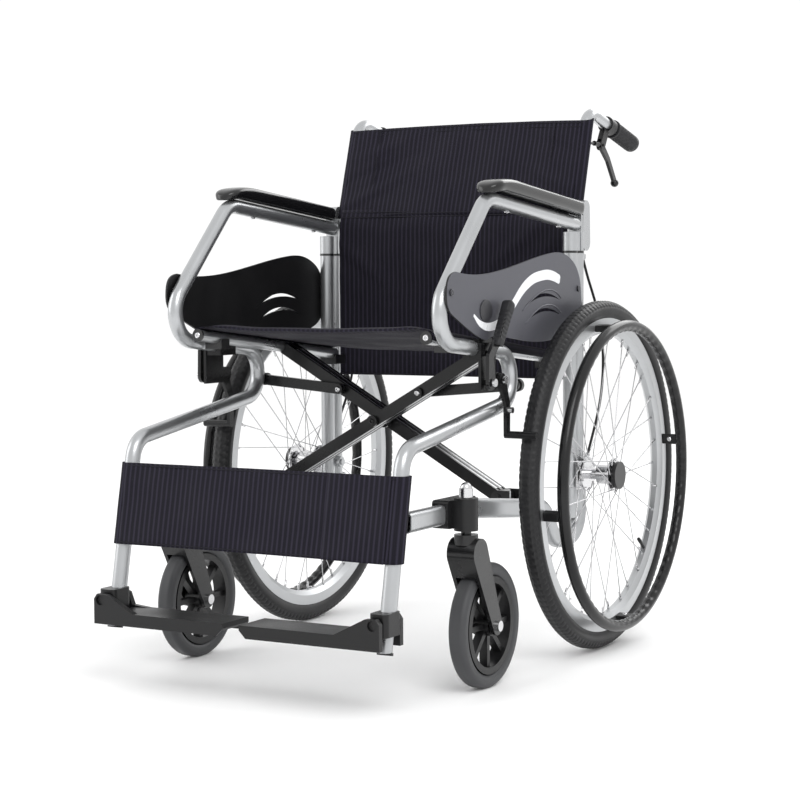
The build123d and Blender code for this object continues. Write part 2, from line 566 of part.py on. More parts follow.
def attendant_lever():
    """Blade with a ball end, hung under the grip."""
    y, z = LEVER_PIVOT
    blade = tapered(y, z, 7, y + 30, z - 24, 5.5) + tapered(y + 30, z - 24, 5.5, y + 62, z - 64, 5)
    lever = side_plate(blade, CANE_X - 3, CANE_X + 3) + Pos(CANE_X, y + 63, z - 66) * Sphere(7.5)
    return lever - x_rod(2.5 + RUN, CANE_X - 10, CANE_X + 10, y, z)


def cord(points, radius):
    """A flexible cable through points, with arcs as wide as its runs allow."""
    spots = [Vector(*p) for p in points]
    bends = []
    for before, here, after in zip(spots, spots[1:], spots[2:]):
        run_in, run_out = here - before, after - here
        turn = radians(run_in.get_angle(run_out))
        bends.append(0.45 * min(run_in.length, run_out.length) / tan(turn / 2))
    print("cable bend radii", [round(bend) for bend in bends])
    path = FilletPolyline(*points, radius=bends)
    return sweep(Plane(origin=path @ 0, z_dir=path % 0) * Circle(radius), path=path)


CABLE_R = 2.4
UPPER_CABLE = ((CANE_X, 117.9, 891.9), (CANE_X, 103.0, 892.6), (CANE_X - 1, 87.0, 882.0),
               (CANE_X - 2, 75.5, 856.0), (CANE_X - 2, 66.0, 826.0))
LOWER_CABLE = ((FRAME_X + 4, 33.0, 682.0), (FRAME_X + 5, 46.0, 656.0), (FRAME_X + 6, 70.0, 622.0),
               (FRAME_X + 8, 92.0, 584.0), (FRAME_X + 10, 104.0, 540.0), (FRAME_X + 12, 104.0, 494.0),
               (FRAME_X + 14, 93.0, 450.0), (FRAME_X + 16, 73.0, 410.0), (FRAME_X + 17, 44.0, 368.0),
               (FRAME_X + 17, 24.0, 338.0))


def upper_cable():
    """Brake cable from the lever's barrel down to its sleeve on the cane."""
    return cord(UPPER_CABLE, CABLE_R)


def lower_cable():
    """Brake cable from the post down to its stop beside the hub."""
    return cord(LOWER_CABLE, CABLE_R)


# ---- parking brake
def brake_bracket():
    """Plate clamped to the frame tube, with the lever's and the shoe's pivot pins."""
    x0 = FRAME_X + TUBE_R + CLEAR
    x1 = x0 + 5
    plate = Pos(-364.0, 509.0) * Rectangle(52, 76) + tapered(*BRAKE_PIVOT, 13, *SHOE_PIVOT, 12)
    bracket = side_plate(plate, x0, x1)
    bracket += block(FRAME_X - 16, x0, -388, -342, 520, 554)
    bracket -= rod(TUBE_R + FIT, (FRAME_X, *FRONT_CORNER), (FRAME_X, *UNDER_SEAT))
    bolts = [x_rod(5, x1 + FIT, x1 + 4, y, 531) for y in (-380.0, -350.0)]
    lever_pin = x_rod(4, x1 - 1, x1 + 19, *BRAKE_PIVOT) + x_rod(6.5, x1 + 16, x1 + 20, *BRAKE_PIVOT)
    shoe_pin = x_rod(4, x1 - 1, x1 + 12, *SHOE_PIVOT) + x_rod(6.5, x1 + 9, x1 + 13, *SHOE_PIVOT)
    return group(bracket + lever_pin + shoe_pin, *bolts)


def brake_shoe():
    """Arm and round bar that press on the tyre."""
    x0 = FRAME_X + TUBE_R + 6
    (py, pz), (by, bz) = SHOE_PIVOT, SHOE_BAR
    arm = tapered(py, pz, 11, py + 20, pz - 42, 6.5) + tapered(py + 20, pz - 42, 6.5, by, bz, 6)
    shoe = side_plate(arm, x0, x0 + 6) + x_rod(SHOE_BAR_R, x0, WHEEL_X + TYRE_WIDTH / 2 + 5, by, bz)
    shoe += x_rod(5, x0 + 5, x0 + 14, py + 20, pz - 50)
    return shoe - x_rod(4 + RUN, x0 - 1, x0 + 10, *SHOE_PIVOT)


def brake_lever():
    """Lever with a ribbed grip."""
    x0 = FRAME_X + TUBE_R + 13
    y, z = BRAKE_PIVOT
    bar = tapered(y, z, 12, y - 3, z + 42, 8) + tapered(y - 3, z + 42, 8, y + 22, z + 66, 8)
    lever = side_plate(bar, x0, x0 + 6)
    lever += side_plate(tapered(y + 20, z + 64, 7.5, y + 55, z + 119, 9), x0 - 1, x0 + 13)
    return lever - x_rod(4 + RUN, x0 - 3, x0 + 10, *BRAKE_PIVOT)


# ---- folding cross, seat rails and links
def brace(y_mid, direction):
    """Extruded brace from the lower pivot on one side to the seat rail on the other."""
    top_trim = 7.0
    length = 2 * BRACE_HALF - top_trim
    bar = Box(length, BRACE_DEPTH, BRACE_HEIGHT)
    for side in (-1, 1):
        for offset_y in (-8, 8):
            bar -= Pos(0, offset_y, side * BRACE_HEIGHT / 2) * Box(length + 2, 9, 3)
    bar = Rot(0, -direction * degrees(BRACE_ANGLE), 0) * Pos(-direction * top_trim / 2, 0, 0) * bar
    bar = Pos(0, y_mid, CENTRE_Z) * bar
    low_x = -direction * SEAT_RAIL_X
    high_x = direction * SEAT_RAIL_X
    half = BRACE_DEPTH / 2
    bar += y_rod(13, y_mid - half, y_mid + half, low_x, PIVOT_Z)
    bar -= y_rod(PIN_R + RUN, y_mid - half - 1, y_mid + half + 1, low_x, PIVOT_Z)
    bar -= y_rod(PIN_R + RUN, y_mid - half - 1, y_mid + half + 1, 0, CENTRE_Z)
    y0, y1 = y_mid - 40, y_mid + 40
    return bar - rod(SEAT_RAIL_R + FIT, (high_x, y0, seat_rail_z(y0)), (high_x, y1, seat_rail_z(y1)))


def front_brace():
    """Front brace, with the centre bolt, its spacer and the link's bolt."""
    half = BRACE_DEPTH / 2
    front, rear = FRONT_BRACE_Y - half, REAR_BRACE_Y + half
    bolt = y_rod(PIN_R, front - 4, rear + 6, 0, CENTRE_Z) + y_rod(10, front - 6, front - FIT, 0, CENTRE_Z)
    bolt += y_rod(10, rear + CLEAR, rear + 7, 0, CENTRE_Z)
    spacer = y_rod(13, front + BRACE_DEPTH + FIT, rear - BRACE_DEPTH - CLEAR, 0, CENTRE_Z)
    spacer -= y_rod(PIN_R + FIT, front, rear, 0, CENTRE_Z)
    x, z = link_bolt()
    bar = brace(FRONT_BRACE_Y, 1) - y_rod(5 + FIT, front - 1, front + BRACE_DEPTH + 1, x, z)
    link_screw = y_rod(5, front - 3, front + BRACE_DEPTH, x, z) + y_rod(8.5, front - 5, front - FIT, x, z)
    return group(bar, bolt, spacer, link_screw)


def rear_brace():
    """Rear brace."""
    return group(brace(REAR_BRACE_Y, -1))


def link_bolt():
    """Where the left stabiliser link meets the front brace, in x and z."""
    reach = 2 * BRACE_HALF - LINK_REACH
    return -SEAT_RAIL_X + reach * cos(BRACE_ANGLE), PIVOT_Z + reach * sin(BRACE_ANGLE)


def stabiliser_link(with_bolt):
    """Flat link from the side frame's stud to a brace."""
    x, z = link_bolt()
    back = LINK_Y + LINK_GAP / 2 - CLEAR
    front = LINK_Y - LINK_GAP / 2 + CLEAR
    outline = tapered(FRAME_X, LINK_PIVOT_Z, LINK_WIDTH / 2, x, z, LINK_WIDTH / 2)
    link = front_plate(outline, front, back)
    link -= y_rod(FOOT_PIN_R + RUN, front - 1, back + 1, FRAME_X, LINK_PIVOT_Z)
    if with_bolt:
        link += y_rod(8.5, front - 5, front, x, z)
    return link


def seat_rail():
    """Tube under the edge of the seat, with its front plug."""
    front_y = SEAT_FRONT[0]
    bore_r = SEAT_RAIL_R - TUBE_WALL
    rail = rail_bar(SEAT_RAIL_R, front_y, SEAT_REAR_Y) - rail_bar(bore_r, front_y - 1, SEAT_REAR_Y + 1)
    plug = rail_bar(SEAT_RAIL_R + 0.5, front_y - 4, front_y - FIT)
    plug += rail_bar(bore_r - FIT, front_y - 1, front_y + 20)
    return group(rail, plug)


# ---- upholstery, as plain solids
def seat_sling():
    """Seat cloth over the two rails."""
    half = SEAT_RAIL_X + SEAT_RAIL_R + 1.5
    y0, y1 = SEAT_FRONT[0] + 3, SEAT_REAR_Y - 2
    lift = (SEAT_RAIL_R + 0.3) / cos(SEAT_SLOPE)
    low0, low1 = seat_rail_z(y0) + lift, seat_rail_z(y1) + lift
    outline = Polyline((y0, low0), (y1, low1), (y1, low1 + 3), (y0, low0 + 3), close=True)
    return side_plate(make_face(outline), -half, half)


def back_upper():
    """Upper back cloth in front of the canes."""
    gap = (CANE_R + 0.3) / cos(BACK_RECLINE)
    (y0, z0), (y1, z1) = cane_point(24), cane_point(BACK_HEIGHT - 20)
    outline = Polyline((y0 - gap, z0), (y1 - gap, z1), (y1 - gap - 3, z1), (y0 - gap - 3, z0), close=True)
    return side_plate(make_face(outline), -CANE_X - CANE_R, CANE_X + CANE_R)


def back_lower():
    """Lower back cloth between the posts."""
    half = FRAME_X - TUBE_R - 2.4
    return block(-half, half, 12, 15, 470, BACK_HINGE[1] - 14)


def calf_strap():
    """Calf strap in front of the leg tubes."""
    gap = TUBE_R * 1.02 + 0.3
    z0, z1 = 228.0, 356.0
    outline = Polyline((leg_y(z0) - gap, z0), (leg_y(z1) - gap, z1), (leg_y(z1) - gap - 3, z1),
                       (leg_y(z0) - gap - 3, z0), close=True)
    return side_plate(make_face(outline), -FRAME_X - 16, FRAME_X + 16)


# ---- writing
def export(shape, name):
    """Write one sub-part with the origin under the middle of the chair."""
    export_step(Pos(0, MID_Y, 0) * shape, f"parts/{name}.step")


PAIRS = {
    "side_frame": side_frame, "rear_post": rear_post, "armrest_pad": armrest_pad, "side_guard": side_guard,
    "caster_housing": caster_housing, "caster_fork": caster_fork, "caster_wheel": caster_wheel,
    "caster_tyre": caster_tyre, "rear_tyre": rear_tyre, "rear_rim": rear_rim, "rear_hub": rear_hub,
    "spokes": spokes, "pushrim": pushrim, "upper_cane": upper_cane, "handle_grip": handle_grip,
    "attendant_bracket": attendant_bracket, "attendant_lever": attendant_lever, "upper_cable": upper_cable,
    "lower_cable": lower_cable, "brake_bracket": brake_bracket, "brake_shoe": brake_shoe,
    "brake_lever": brake_lever, "footplate": footplate, "foot_hinge": foot_hinge, "seat_rail": seat_rail,
}
SINGLES = {
    "front_brace": front_brace, "rear_brace": rear_brace, "seat_sling": seat_sling, "back_upper": back_upper,
    "back_lower": back_lower, "calf_strap": calf_strap,
}


def main():
    os.makedirs("parts", exist_ok=True)
    for name, make in PAIRS.items():
        left = make()
        export(left, f"{name}_left")
        export(mirror(left, about=Plane.YZ), f"{name}_right")
    for name, make in SINGLES.items():
        export(make(), name)
    left_rail = lower_rail()
    export(group(left_rail, pivot_ears(REAR_BRACE_Y)), "lower_rail_left")
    export(mirror(group(left_rail, pivot_ears(FRONT_BRACE_Y)), about=Plane.YZ), "lower_rail_right")
    export(stabiliser_link(False), "stabiliser_link_left")
    export(mirror(stabiliser_link(True), about=Plane.YZ), "stabiliser_link_right")


main()
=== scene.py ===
"""Looks for the folding wheelchair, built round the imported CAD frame. Metres, +X left, -Y front, +Z up."""
from math import atan2, cos, exp, pi, radians, sin, tan, tau

import bpy
from mathutils import Matrix, Vector, noise


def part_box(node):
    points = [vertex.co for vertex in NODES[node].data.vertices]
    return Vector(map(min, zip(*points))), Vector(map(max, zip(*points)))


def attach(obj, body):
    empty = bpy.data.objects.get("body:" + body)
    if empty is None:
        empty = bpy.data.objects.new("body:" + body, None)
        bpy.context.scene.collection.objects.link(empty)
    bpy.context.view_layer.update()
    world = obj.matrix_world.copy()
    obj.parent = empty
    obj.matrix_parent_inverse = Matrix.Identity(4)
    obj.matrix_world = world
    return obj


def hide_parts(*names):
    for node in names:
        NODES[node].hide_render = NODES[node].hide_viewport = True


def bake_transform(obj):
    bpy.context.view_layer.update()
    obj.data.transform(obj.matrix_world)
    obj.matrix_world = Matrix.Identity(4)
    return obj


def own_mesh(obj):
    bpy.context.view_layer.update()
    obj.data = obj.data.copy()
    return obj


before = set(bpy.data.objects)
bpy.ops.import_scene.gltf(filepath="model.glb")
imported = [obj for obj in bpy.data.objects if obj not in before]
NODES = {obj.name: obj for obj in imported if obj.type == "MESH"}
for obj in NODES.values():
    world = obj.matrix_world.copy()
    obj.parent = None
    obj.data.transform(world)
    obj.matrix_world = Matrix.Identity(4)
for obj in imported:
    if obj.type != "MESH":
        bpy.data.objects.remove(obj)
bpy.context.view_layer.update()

# ---- layout, from the frame
WHEEL_LOW, WHEEL_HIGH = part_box("rear_tyre_left")
AXLE_Y, AXLE_Z = ((WHEEL_LOW[k] + WHEEL_HIGH[k]) / 2 for k in (1, 2))
TYRE_R = AXLE_Z
WHEEL_X = 0.303                     # tyre's centre plane
FRAME_X = 0.250                     # side frame's centre plane
CANE_X = 0.237                      # push canes
RAIL_X = 0.217                      # seat rails
CANE_FOOT = (0.0285, 0.752)         # (y, z) of the cane's axis at its hinge
CANE_RISE = 0.197                   # from there up to the push handle's bend
RECLINE = radians(16.8)
HANDLE_DROP = radians(13.5)
CROSS_Z = 0.407                     # where the braces cross
CROSS_ANGLE = atan2(0.125, RAIL_X)
SEAT_FRONT, SEAT_FRONT_Z, SEAT_TILT = -0.475, 0.557, radians(6.0)
LEG_TOP, LEG_SLOPE = (-0.610, 0.392), 0.195
ARM_FRONT, ARM_SLOPE = (-0.338, 0.778), 0.098
SIDES = (("left", 1), ("right", -1))


def at(x, y, z):
    """A point given with y from the rear axle."""
    return Vector((x, y + AXLE_Y, z))


def arm_height(y):
    return ARM_FRONT[1] - (y - ARM_FRONT[0]) * ARM_SLOPE


def seat_height(y):
    return SEAT_FRONT_Z - (y - SEAT_FRONT) * tan(SEAT_TILT)


# ---- camera and light
def set_camera():
    azimuth, elevation, roll = radians(29.59), radians(3.57), radians(-0.29)
    eye = (1.686, -2.9475, 0.651)
    right = Vector((cos(azimuth), sin(azimuth), 0))
    back = Vector((sin(azimuth) * cos(elevation), -cos(azimuth) * cos(elevation), sin(elevation)))
    up = back.cross(right)
    data = bpy.data.cameras.new("camera")
    data.lens, data.sensor_width = 88.07, 36.0
    data.clip_end = 60
    camera = bpy.data.objects.new("camera", data)
    bpy.context.collection.objects.link(camera)
    turn = Matrix((right, up, back)).transposed() @ Matrix.Rotation(roll, 3, "Z")
    camera.matrix_world = Matrix.Translation(eye) @ turn.to_4x4()
    bpy.context.scene.camera = camera


def area_light(name, place, aim, size, power):
    data = bpy.data.lights.new(name, "AREA")
    data.shape, data.size, data.size_y, data.energy = "RECTANGLE", size[0], size[1], power
    light = bpy.data.objects.new(name, data)
    bpy.context.collection.objects.link(light)
    turn = (Vector(aim) - Vector(place)).to_track_quat("-Z", "Y").to_matrix()
    light.matrix_world = Matrix.Translation(place) @ turn.to_4x4()


def set_studio():
    world = bpy.data.worlds.new("studio")
    bpy.context.scene.world = world
    world.use_nodes = True
    background = world.node_tree.nodes["Background"]
    background.inputs["Color"].default_value = (1, 1, 1, 1)
    background.inputs["Strength"].default_value = 1.04
    area_light("key", (2.4, -2.2, 3.0), (0, 0, 0.4), (2.2, 2.2), 60)
    area_light("fill", (-3.2, -1.8, 1.8), (0, 0, 0.5), (2.0, 2.6), 30)
    area_light("rim", (0.6, 3.2, 2.6), (0, 0, 0.6), (3.0, 1.6), 40)
    bpy.context.scene.view_settings.view_transform = "Standard"
    floor = mesh_object("floor", [(-30, -30, 0), (30, -30, 0), (30, 30, 0), (-30, 30, 0)], [(0, 1, 2, 3)])
    floor.data.materials.append(surface("floor", (0.98, 0.98, 0.98), 0.7, grain_depth=0.0, variation=0.01))


# ---- materials
def surface(name, color, rough, metal=0.0, grain=900.0, grain_depth=0.15, variation=0.12, coat=0.0, sheen=0.0,
            gloss=0.5, zones=()):
    """A material with mottled colour and gloss, a fine grain, and zones of other finishes set by place.

    A zone is (box, color, rough, metal); the box is in |x|, y, z, in metres, and y is from the rear axle.
    """
    material = bpy.data.materials.new(name)
    material.use_nodes = True
    tree = material.node_tree
    shader = tree.nodes["Principled BSDF"]
    coords = tree.nodes.new("ShaderNodeTexCoord")

    def link(a, b):
        tree.links.new(a, b)

    def noise_node(scale, detail):
        node = tree.nodes.new("ShaderNodeTexNoise")
        node.inputs["Scale"].default_value = scale
        node.inputs["Detail"].default_value = detail
        link(coords.outputs["Object"], node.inputs["Vector"])
        return node.outputs["Fac"]

    def ramp(fac, low, high):
        node = tree.nodes.new("ShaderNodeMapRange")
        node.inputs["From Min"].default_value, node.inputs["From Max"].default_value = 0.3, 0.7
        node.inputs["To Min"].default_value, node.inputs["To Max"].default_value = low, high
        link(fac, node.inputs["Value"])
        return node.outputs["Result"]

    def shade(base, fac):
        node = tree.nodes.new("ShaderNodeMix")
        node.data_type = "RGBA"
        node.inputs["A"].default_value = (*[c * (1 - variation) for c in base], 1)
        node.inputs["B"].default_value = (*[min(1, c * (1 + variation) + variation * 0.004) for c in base], 1)
        link(fac, node.inputs["Factor"])
        return node.outputs["Result"]

    cloudy = noise_node(14, 4)
    color_out, rough_out, metal_out = shade(color, cloudy), ramp(cloudy, rough * 0.85, min(1, rough * 1.15)), None
    masks = None
    if zones:
        split = tree.nodes.new("ShaderNodeSeparateXYZ")
        link(coords.outputs["Object"], split.inputs[0])
        absolute = tree.nodes.new("ShaderNodeMath")
        absolute.operation = "ABSOLUTE"
        link(split.outputs["X"], absolute.inputs[0])
        masks = (absolute.outputs[0], split.outputs["Y"], split.outputs["Z"])

    def inside(box):
        result = None
        for value, (low, high), shift in zip(masks, box, (0, AXLE_Y, 0)):
            for operation, limit in (("GREATER_THAN", low), ("LESS_THAN", high)):
                if abs(limit) > 5:
                    continue
                test = tree.nodes.new("ShaderNodeMath")
                test.operation = operation
                link(value, test.inputs[0])
                test.inputs[1].default_value = limit + shift
                if result is None:
                    result = test.outputs[0]
                else:
                    both = tree.nodes.new("ShaderNodeMath")
                    both.operation = "MULTIPLY"
                    link(result, both.inputs[0])
                    link(test.outputs[0], both.inputs[1])
                    result = both.outputs[0]
        return result

    def pick(mask, first, second, kind):
        node = tree.nodes.new("ShaderNodeMix")
        node.data_type = kind
        link(mask, node.inputs["Factor"])
        for key, value in (("A", first), ("B", second)):
            sockets = [s for s in node.inputs if s.name == key and s.enabled]
            if isinstance(value, (int, float)):
                sockets[0].default_value = value
            else:
                link(value, sockets[0])
        return [s for s in node.outputs if s.enabled][0]

    for box, zone_color, zone_rough, zone_metal in zones:
        mask = inside(box)
        color_out = pick(mask, color_out, shade(zone_color, cloudy), "RGBA")
        rough_out = pick(mask, rough_out, ramp(cloudy, zone_rough * 0.85, zone_rough * 1.15), "FLOAT")
        metal_out = pick(mask, metal if metal_out is None else metal_out, zone_metal, "FLOAT")
    link(color_out, shader.inputs["Base Color"])
    link(rough_out, shader.inputs["Roughness"])
    if metal_out is None:
        shader.inputs["Metallic"].default_value = metal
    else:
        link(metal_out, shader.inputs["Metallic"])
    shader.inputs["Specular IOR Level"].default_value = gloss
    shader.inputs["Coat Weight"].default_value = coat
    shader.inputs["Coat Roughness"].default_value = 0.12
    shader.inputs["Sheen Weight"].default_value = sheen
    shader.inputs["Sheen Roughness"].default_value = 0.4
    if grain_depth:
        bump = tree.nodes.new("ShaderNodeBump")
        bump.inputs["Strength"].default_value = grain_depth
        bump.inputs["Distance"].default_value = 0.0004
        link(noise_node(grain, 3), bump.inputs["Height"])
        link(bump.outputs["Normal"], shader.inputs["Normal"])
    return material


def striped_cloth(name, period, dark, light):
    """Woven cloth with thin paler stripes along its length; the UV map is in metres."""
    material = surface(name, dark, 0.75, grain=1400, grain_depth=0.0, sheen=0.03, gloss=0.12)
    tree = material.node_tree
    shader = tree.nodes["Principled BSDF"]
    uv = tree.nodes.new("ShaderNodeUVMap")
    uv.uv_map = "UVMap"
    split = tree.nodes.new("ShaderNodeSeparateXYZ")
    tree.links.new(uv.outputs["UV"], split.inputs[0])

    def math(operation, a, b=None):
        node = tree.nodes.new("ShaderNodeMath")
        node.operation = operation
        for socket, value in zip(node.inputs, (a, b)):
            if isinstance(value, (int, float)):
                socket.default_value = value
            elif value is not None:
                tree.links.new(value, socket)
        return node.outputs[0]

    def wave(axis, length):
        return math("ADD", math("MULTIPLY", math("SINE", math("MULTIPLY", axis, tau / length)), 0.5), 0.5)

    across, along = split.outputs["X"], split.outputs["Y"]
    line = math("POWER", wave(across, period), 2.5)
    thin = math("MULTIPLY", math("POWER", wave(across, period / 3), 4.0), 0.16)
    broken = math("ADD", math("MULTIPLY", wave(along, 0.0016), 0.45), 0.55)
    stripe = math("MULTIPLY", math("MAXIMUM", line, thin), broken)
    mix = tree.nodes.new("ShaderNodeMix")
    mix.data_type = "RGBA"
    tree.links.new(stripe, mix.inputs["Factor"])
    base = shader.inputs["Base Color"].links[0].from_socket
    tree.links.new(base, mix.inputs["A"])
    mix.inputs["B"].default_value = (*light, 1)
    tree.links.new(mix.outputs["Result"], shader.inputs["Base Color"])
    weave = math("ADD", math("MULTIPLY", wave(across, 0.0011), wave(along, 0.0011)), math("MULTIPLY", stripe, 0.6))
    bump = tree.nodes.new("ShaderNodeBump")
    bump.inputs["Strength"].default_value = 0.35
    bump.inputs["Distance"].default_value = 0.0004
    tree.links.new(weave, bump.inputs["Height"])
    tree.links.new(bump.outputs["Normal"], shader.inputs["Normal"])
    return material


# ---- mesh building
def mesh_object(name, points, faces, smooth=True, uv=None, material=None):
    mesh = bpy.data.meshes.new(name)
    mesh.from_pydata([tuple(p) for p in points], [], faces)
    mesh.update()
    if uv is not None:
        layer = mesh.uv_layers.new(name="UVMap")
        for loop in mesh.loops:
            layer.data[loop.index].uv = uv[loop.vertex_index]
    for polygon in mesh.polygons:
        polygon.use_smooth = smooth
    obj = bpy.data.objects.new(name, mesh)
    bpy.context.collection.objects.link(obj)
    if material is not None:
        mesh.materials.append(material)
    return obj


def grid_faces(rows, columns, wrap_rows=False, wrap_columns=False):
    """Quads of a grid of points stored row by row."""
    faces = []
    for i in range(rows if wrap_rows else rows - 1):
        for j in range(columns if wrap_columns else columns - 1):
            ni, nj = (i + 1) % rows, (j + 1) % columns
            faces.append((i * columns + j, i * columns + nj, ni * columns + nj, ni * columns + j))
    return faces


def tube_faces(rows, columns):
    """Faces of a closed tube of rings, with flat ends."""
    ends = [tuple(range(columns - 1, -1, -1)), tuple(range((rows - 1) * columns, rows * columns))]
    return grid_faces(rows, columns, wrap_columns=True) + ends


def prism_faces(sides):
    """Faces of a bar between two matching outlines."""
    ends = [tuple(range(sides)), tuple(range(2 * sides - 1, sides - 1, -1))]
    return ends + [(k, k + sides, (k + 1) % sides + sides, (k + 1) % sides) for k in range(sides)]


def finished(obj):
    """Applies an object's modifiers to its mesh."""
    graph = bpy.context.evaluated_depsgraph_get()
    mesh = bpy.data.meshes.new_from_object(obj.evaluated_get(graph), preserve_all_data_layers=True, depsgraph=graph)
    obj.modifiers.clear()
    obj.data = mesh
    return obj


def thicken(obj, thickness, bevel=0.0, levels=0):
    solid = obj.modifiers.new("thick", "SOLIDIFY")
    solid.thickness, solid.offset = thickness, 0
    if bevel:
        edge = obj.modifiers.new("edge", "BEVEL")
        edge.width, edge.segments, edge.limit_method, edge.angle_limit = bevel, 2, "ANGLE", radians(50)
    if levels:
        obj.modifiers.new("round", "SUBSURF").levels = levels
    return finished(obj)


def lathe(name, profile, center, axis, steps=32, material=None):
    """A solid of revolution: profile is (distance along the axis, radius) pairs."""
    turn = Vector((0, 0, 1)).rotation_difference(Vector(axis)).to_matrix()
    points = []
    for run, radius in profile:
        for j in range(steps):
            angle = tau * j / steps
            points.append(turn @ Vector((radius * cos(angle), radius * sin(angle), run)) + Vector(center))
    return sharp(mesh_object(name, points, tube_faces(len(profile), steps), material=material))


def sharp(obj, angle=35):
    """Smooth shading with creases kept."""
    obj.data.set_sharp_from_angle(angle=radians(angle))
    return obj


def socket_screw(name, center, axis, radius, body, material, height=0.0025):
    """A domed screw head with a hexagon socket."""
    r, h = radius, height
    turn = Vector((0, 0, 1)).rotation_difference(Vector(axis)).to_matrix()
    rings = [(0, r, 0), (h * 0.45, r, 0), (h * 0.8, r * 0.86, 0), (h, r * 0.62, 0), (h, r * 0.46, 1),
             (h * 0.2, r * 0.42, 1)]
    points = []
    for run, radius_here, hexed in rings:
        for j in range(24):
            angle = tau * j / 24
            reach = radius_here * (cos(pi / 6) / cos((angle % (pi / 3)) - pi / 6) if hexed else 1.0)
            points.append(turn @ Vector((reach * cos(angle), reach * sin(angle), run)) + Vector(center))
    obj = sharp(mesh_object(name, points, tube_faces(len(rings), 24), material=material))
    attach(obj, body)


def outline_plate(name, outline, x, thickness, body, material, bevel=0.0006):
    """A flat plate in the YZ plane at x, from a closed outline of (y, z) in millimetres."""
    points = [at(x, y / 1000, z / 1000) for y, z in outline]
    obj = mesh_object(name, points, [tuple(range(len(points)))], smooth=False, material=material)
    thicken(obj, thickness, bevel)
    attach(obj, body)


def smooth_curve(points, steps=8, closed=True):
    """Catmull-Rom through 2-D points."""
    count, result = len(points), []
    spans = count if closed else count - 1
    for i in range(spans):
        if closed:
            p = [points[(i + k) % count] for k in (-1, 0, 1, 2)]
        else:
            p = [points[max(0, min(count - 1, i + k))] for k in (-1, 0, 1, 2)]
        for s in range(steps):
            t = s / steps
            weights = (-t + 2 * t * t - t ** 3, 2 - 5 * t * t + 3 * t ** 3, t + 4 * t * t - 3 * t ** 3,
                       t ** 3 - t * t)
            result.append(tuple(sum(w * q[k] for w, q in zip(weights, p)) / 2 for k in (0, 1)))
    if not closed:
        result.append(points[-1])
    return result


def crumple(point, size, depth, seed):
    """A small repeatable offset for cloth."""
    return noise.noise(Vector(point) / size + Vector((seed, seed * 1.7, 0))) * depth


# ---- finishes
SILVER = (0.44, 0.45, 0.46)
BLACK = (0.006, 0.006, 0.0065)
FAR = 9
WIDE = (-FAR, FAR)
HARD_BLACK = (BLACK, 0.32, 0.0)
BRIGHT = ((0.66, 0.66, 0.67), 0.18, 1.0)


def silver(name, zones=()):
    """Satin silver paint over metal."""
    return surface(name, SILVER, 0.30, 0.85, grain=2500, grain_depth=0.05, variation=0.04, coat=0.35, zones=zones)


def black(name, rough, grain, depth, coat=0.0, gloss=0.35, zones=()):
    """Black paint, plastic or rubber."""
    return surface(name, BLACK, rough, 0.0, grain, depth, 0.2, coat, gloss=gloss, zones=zones)


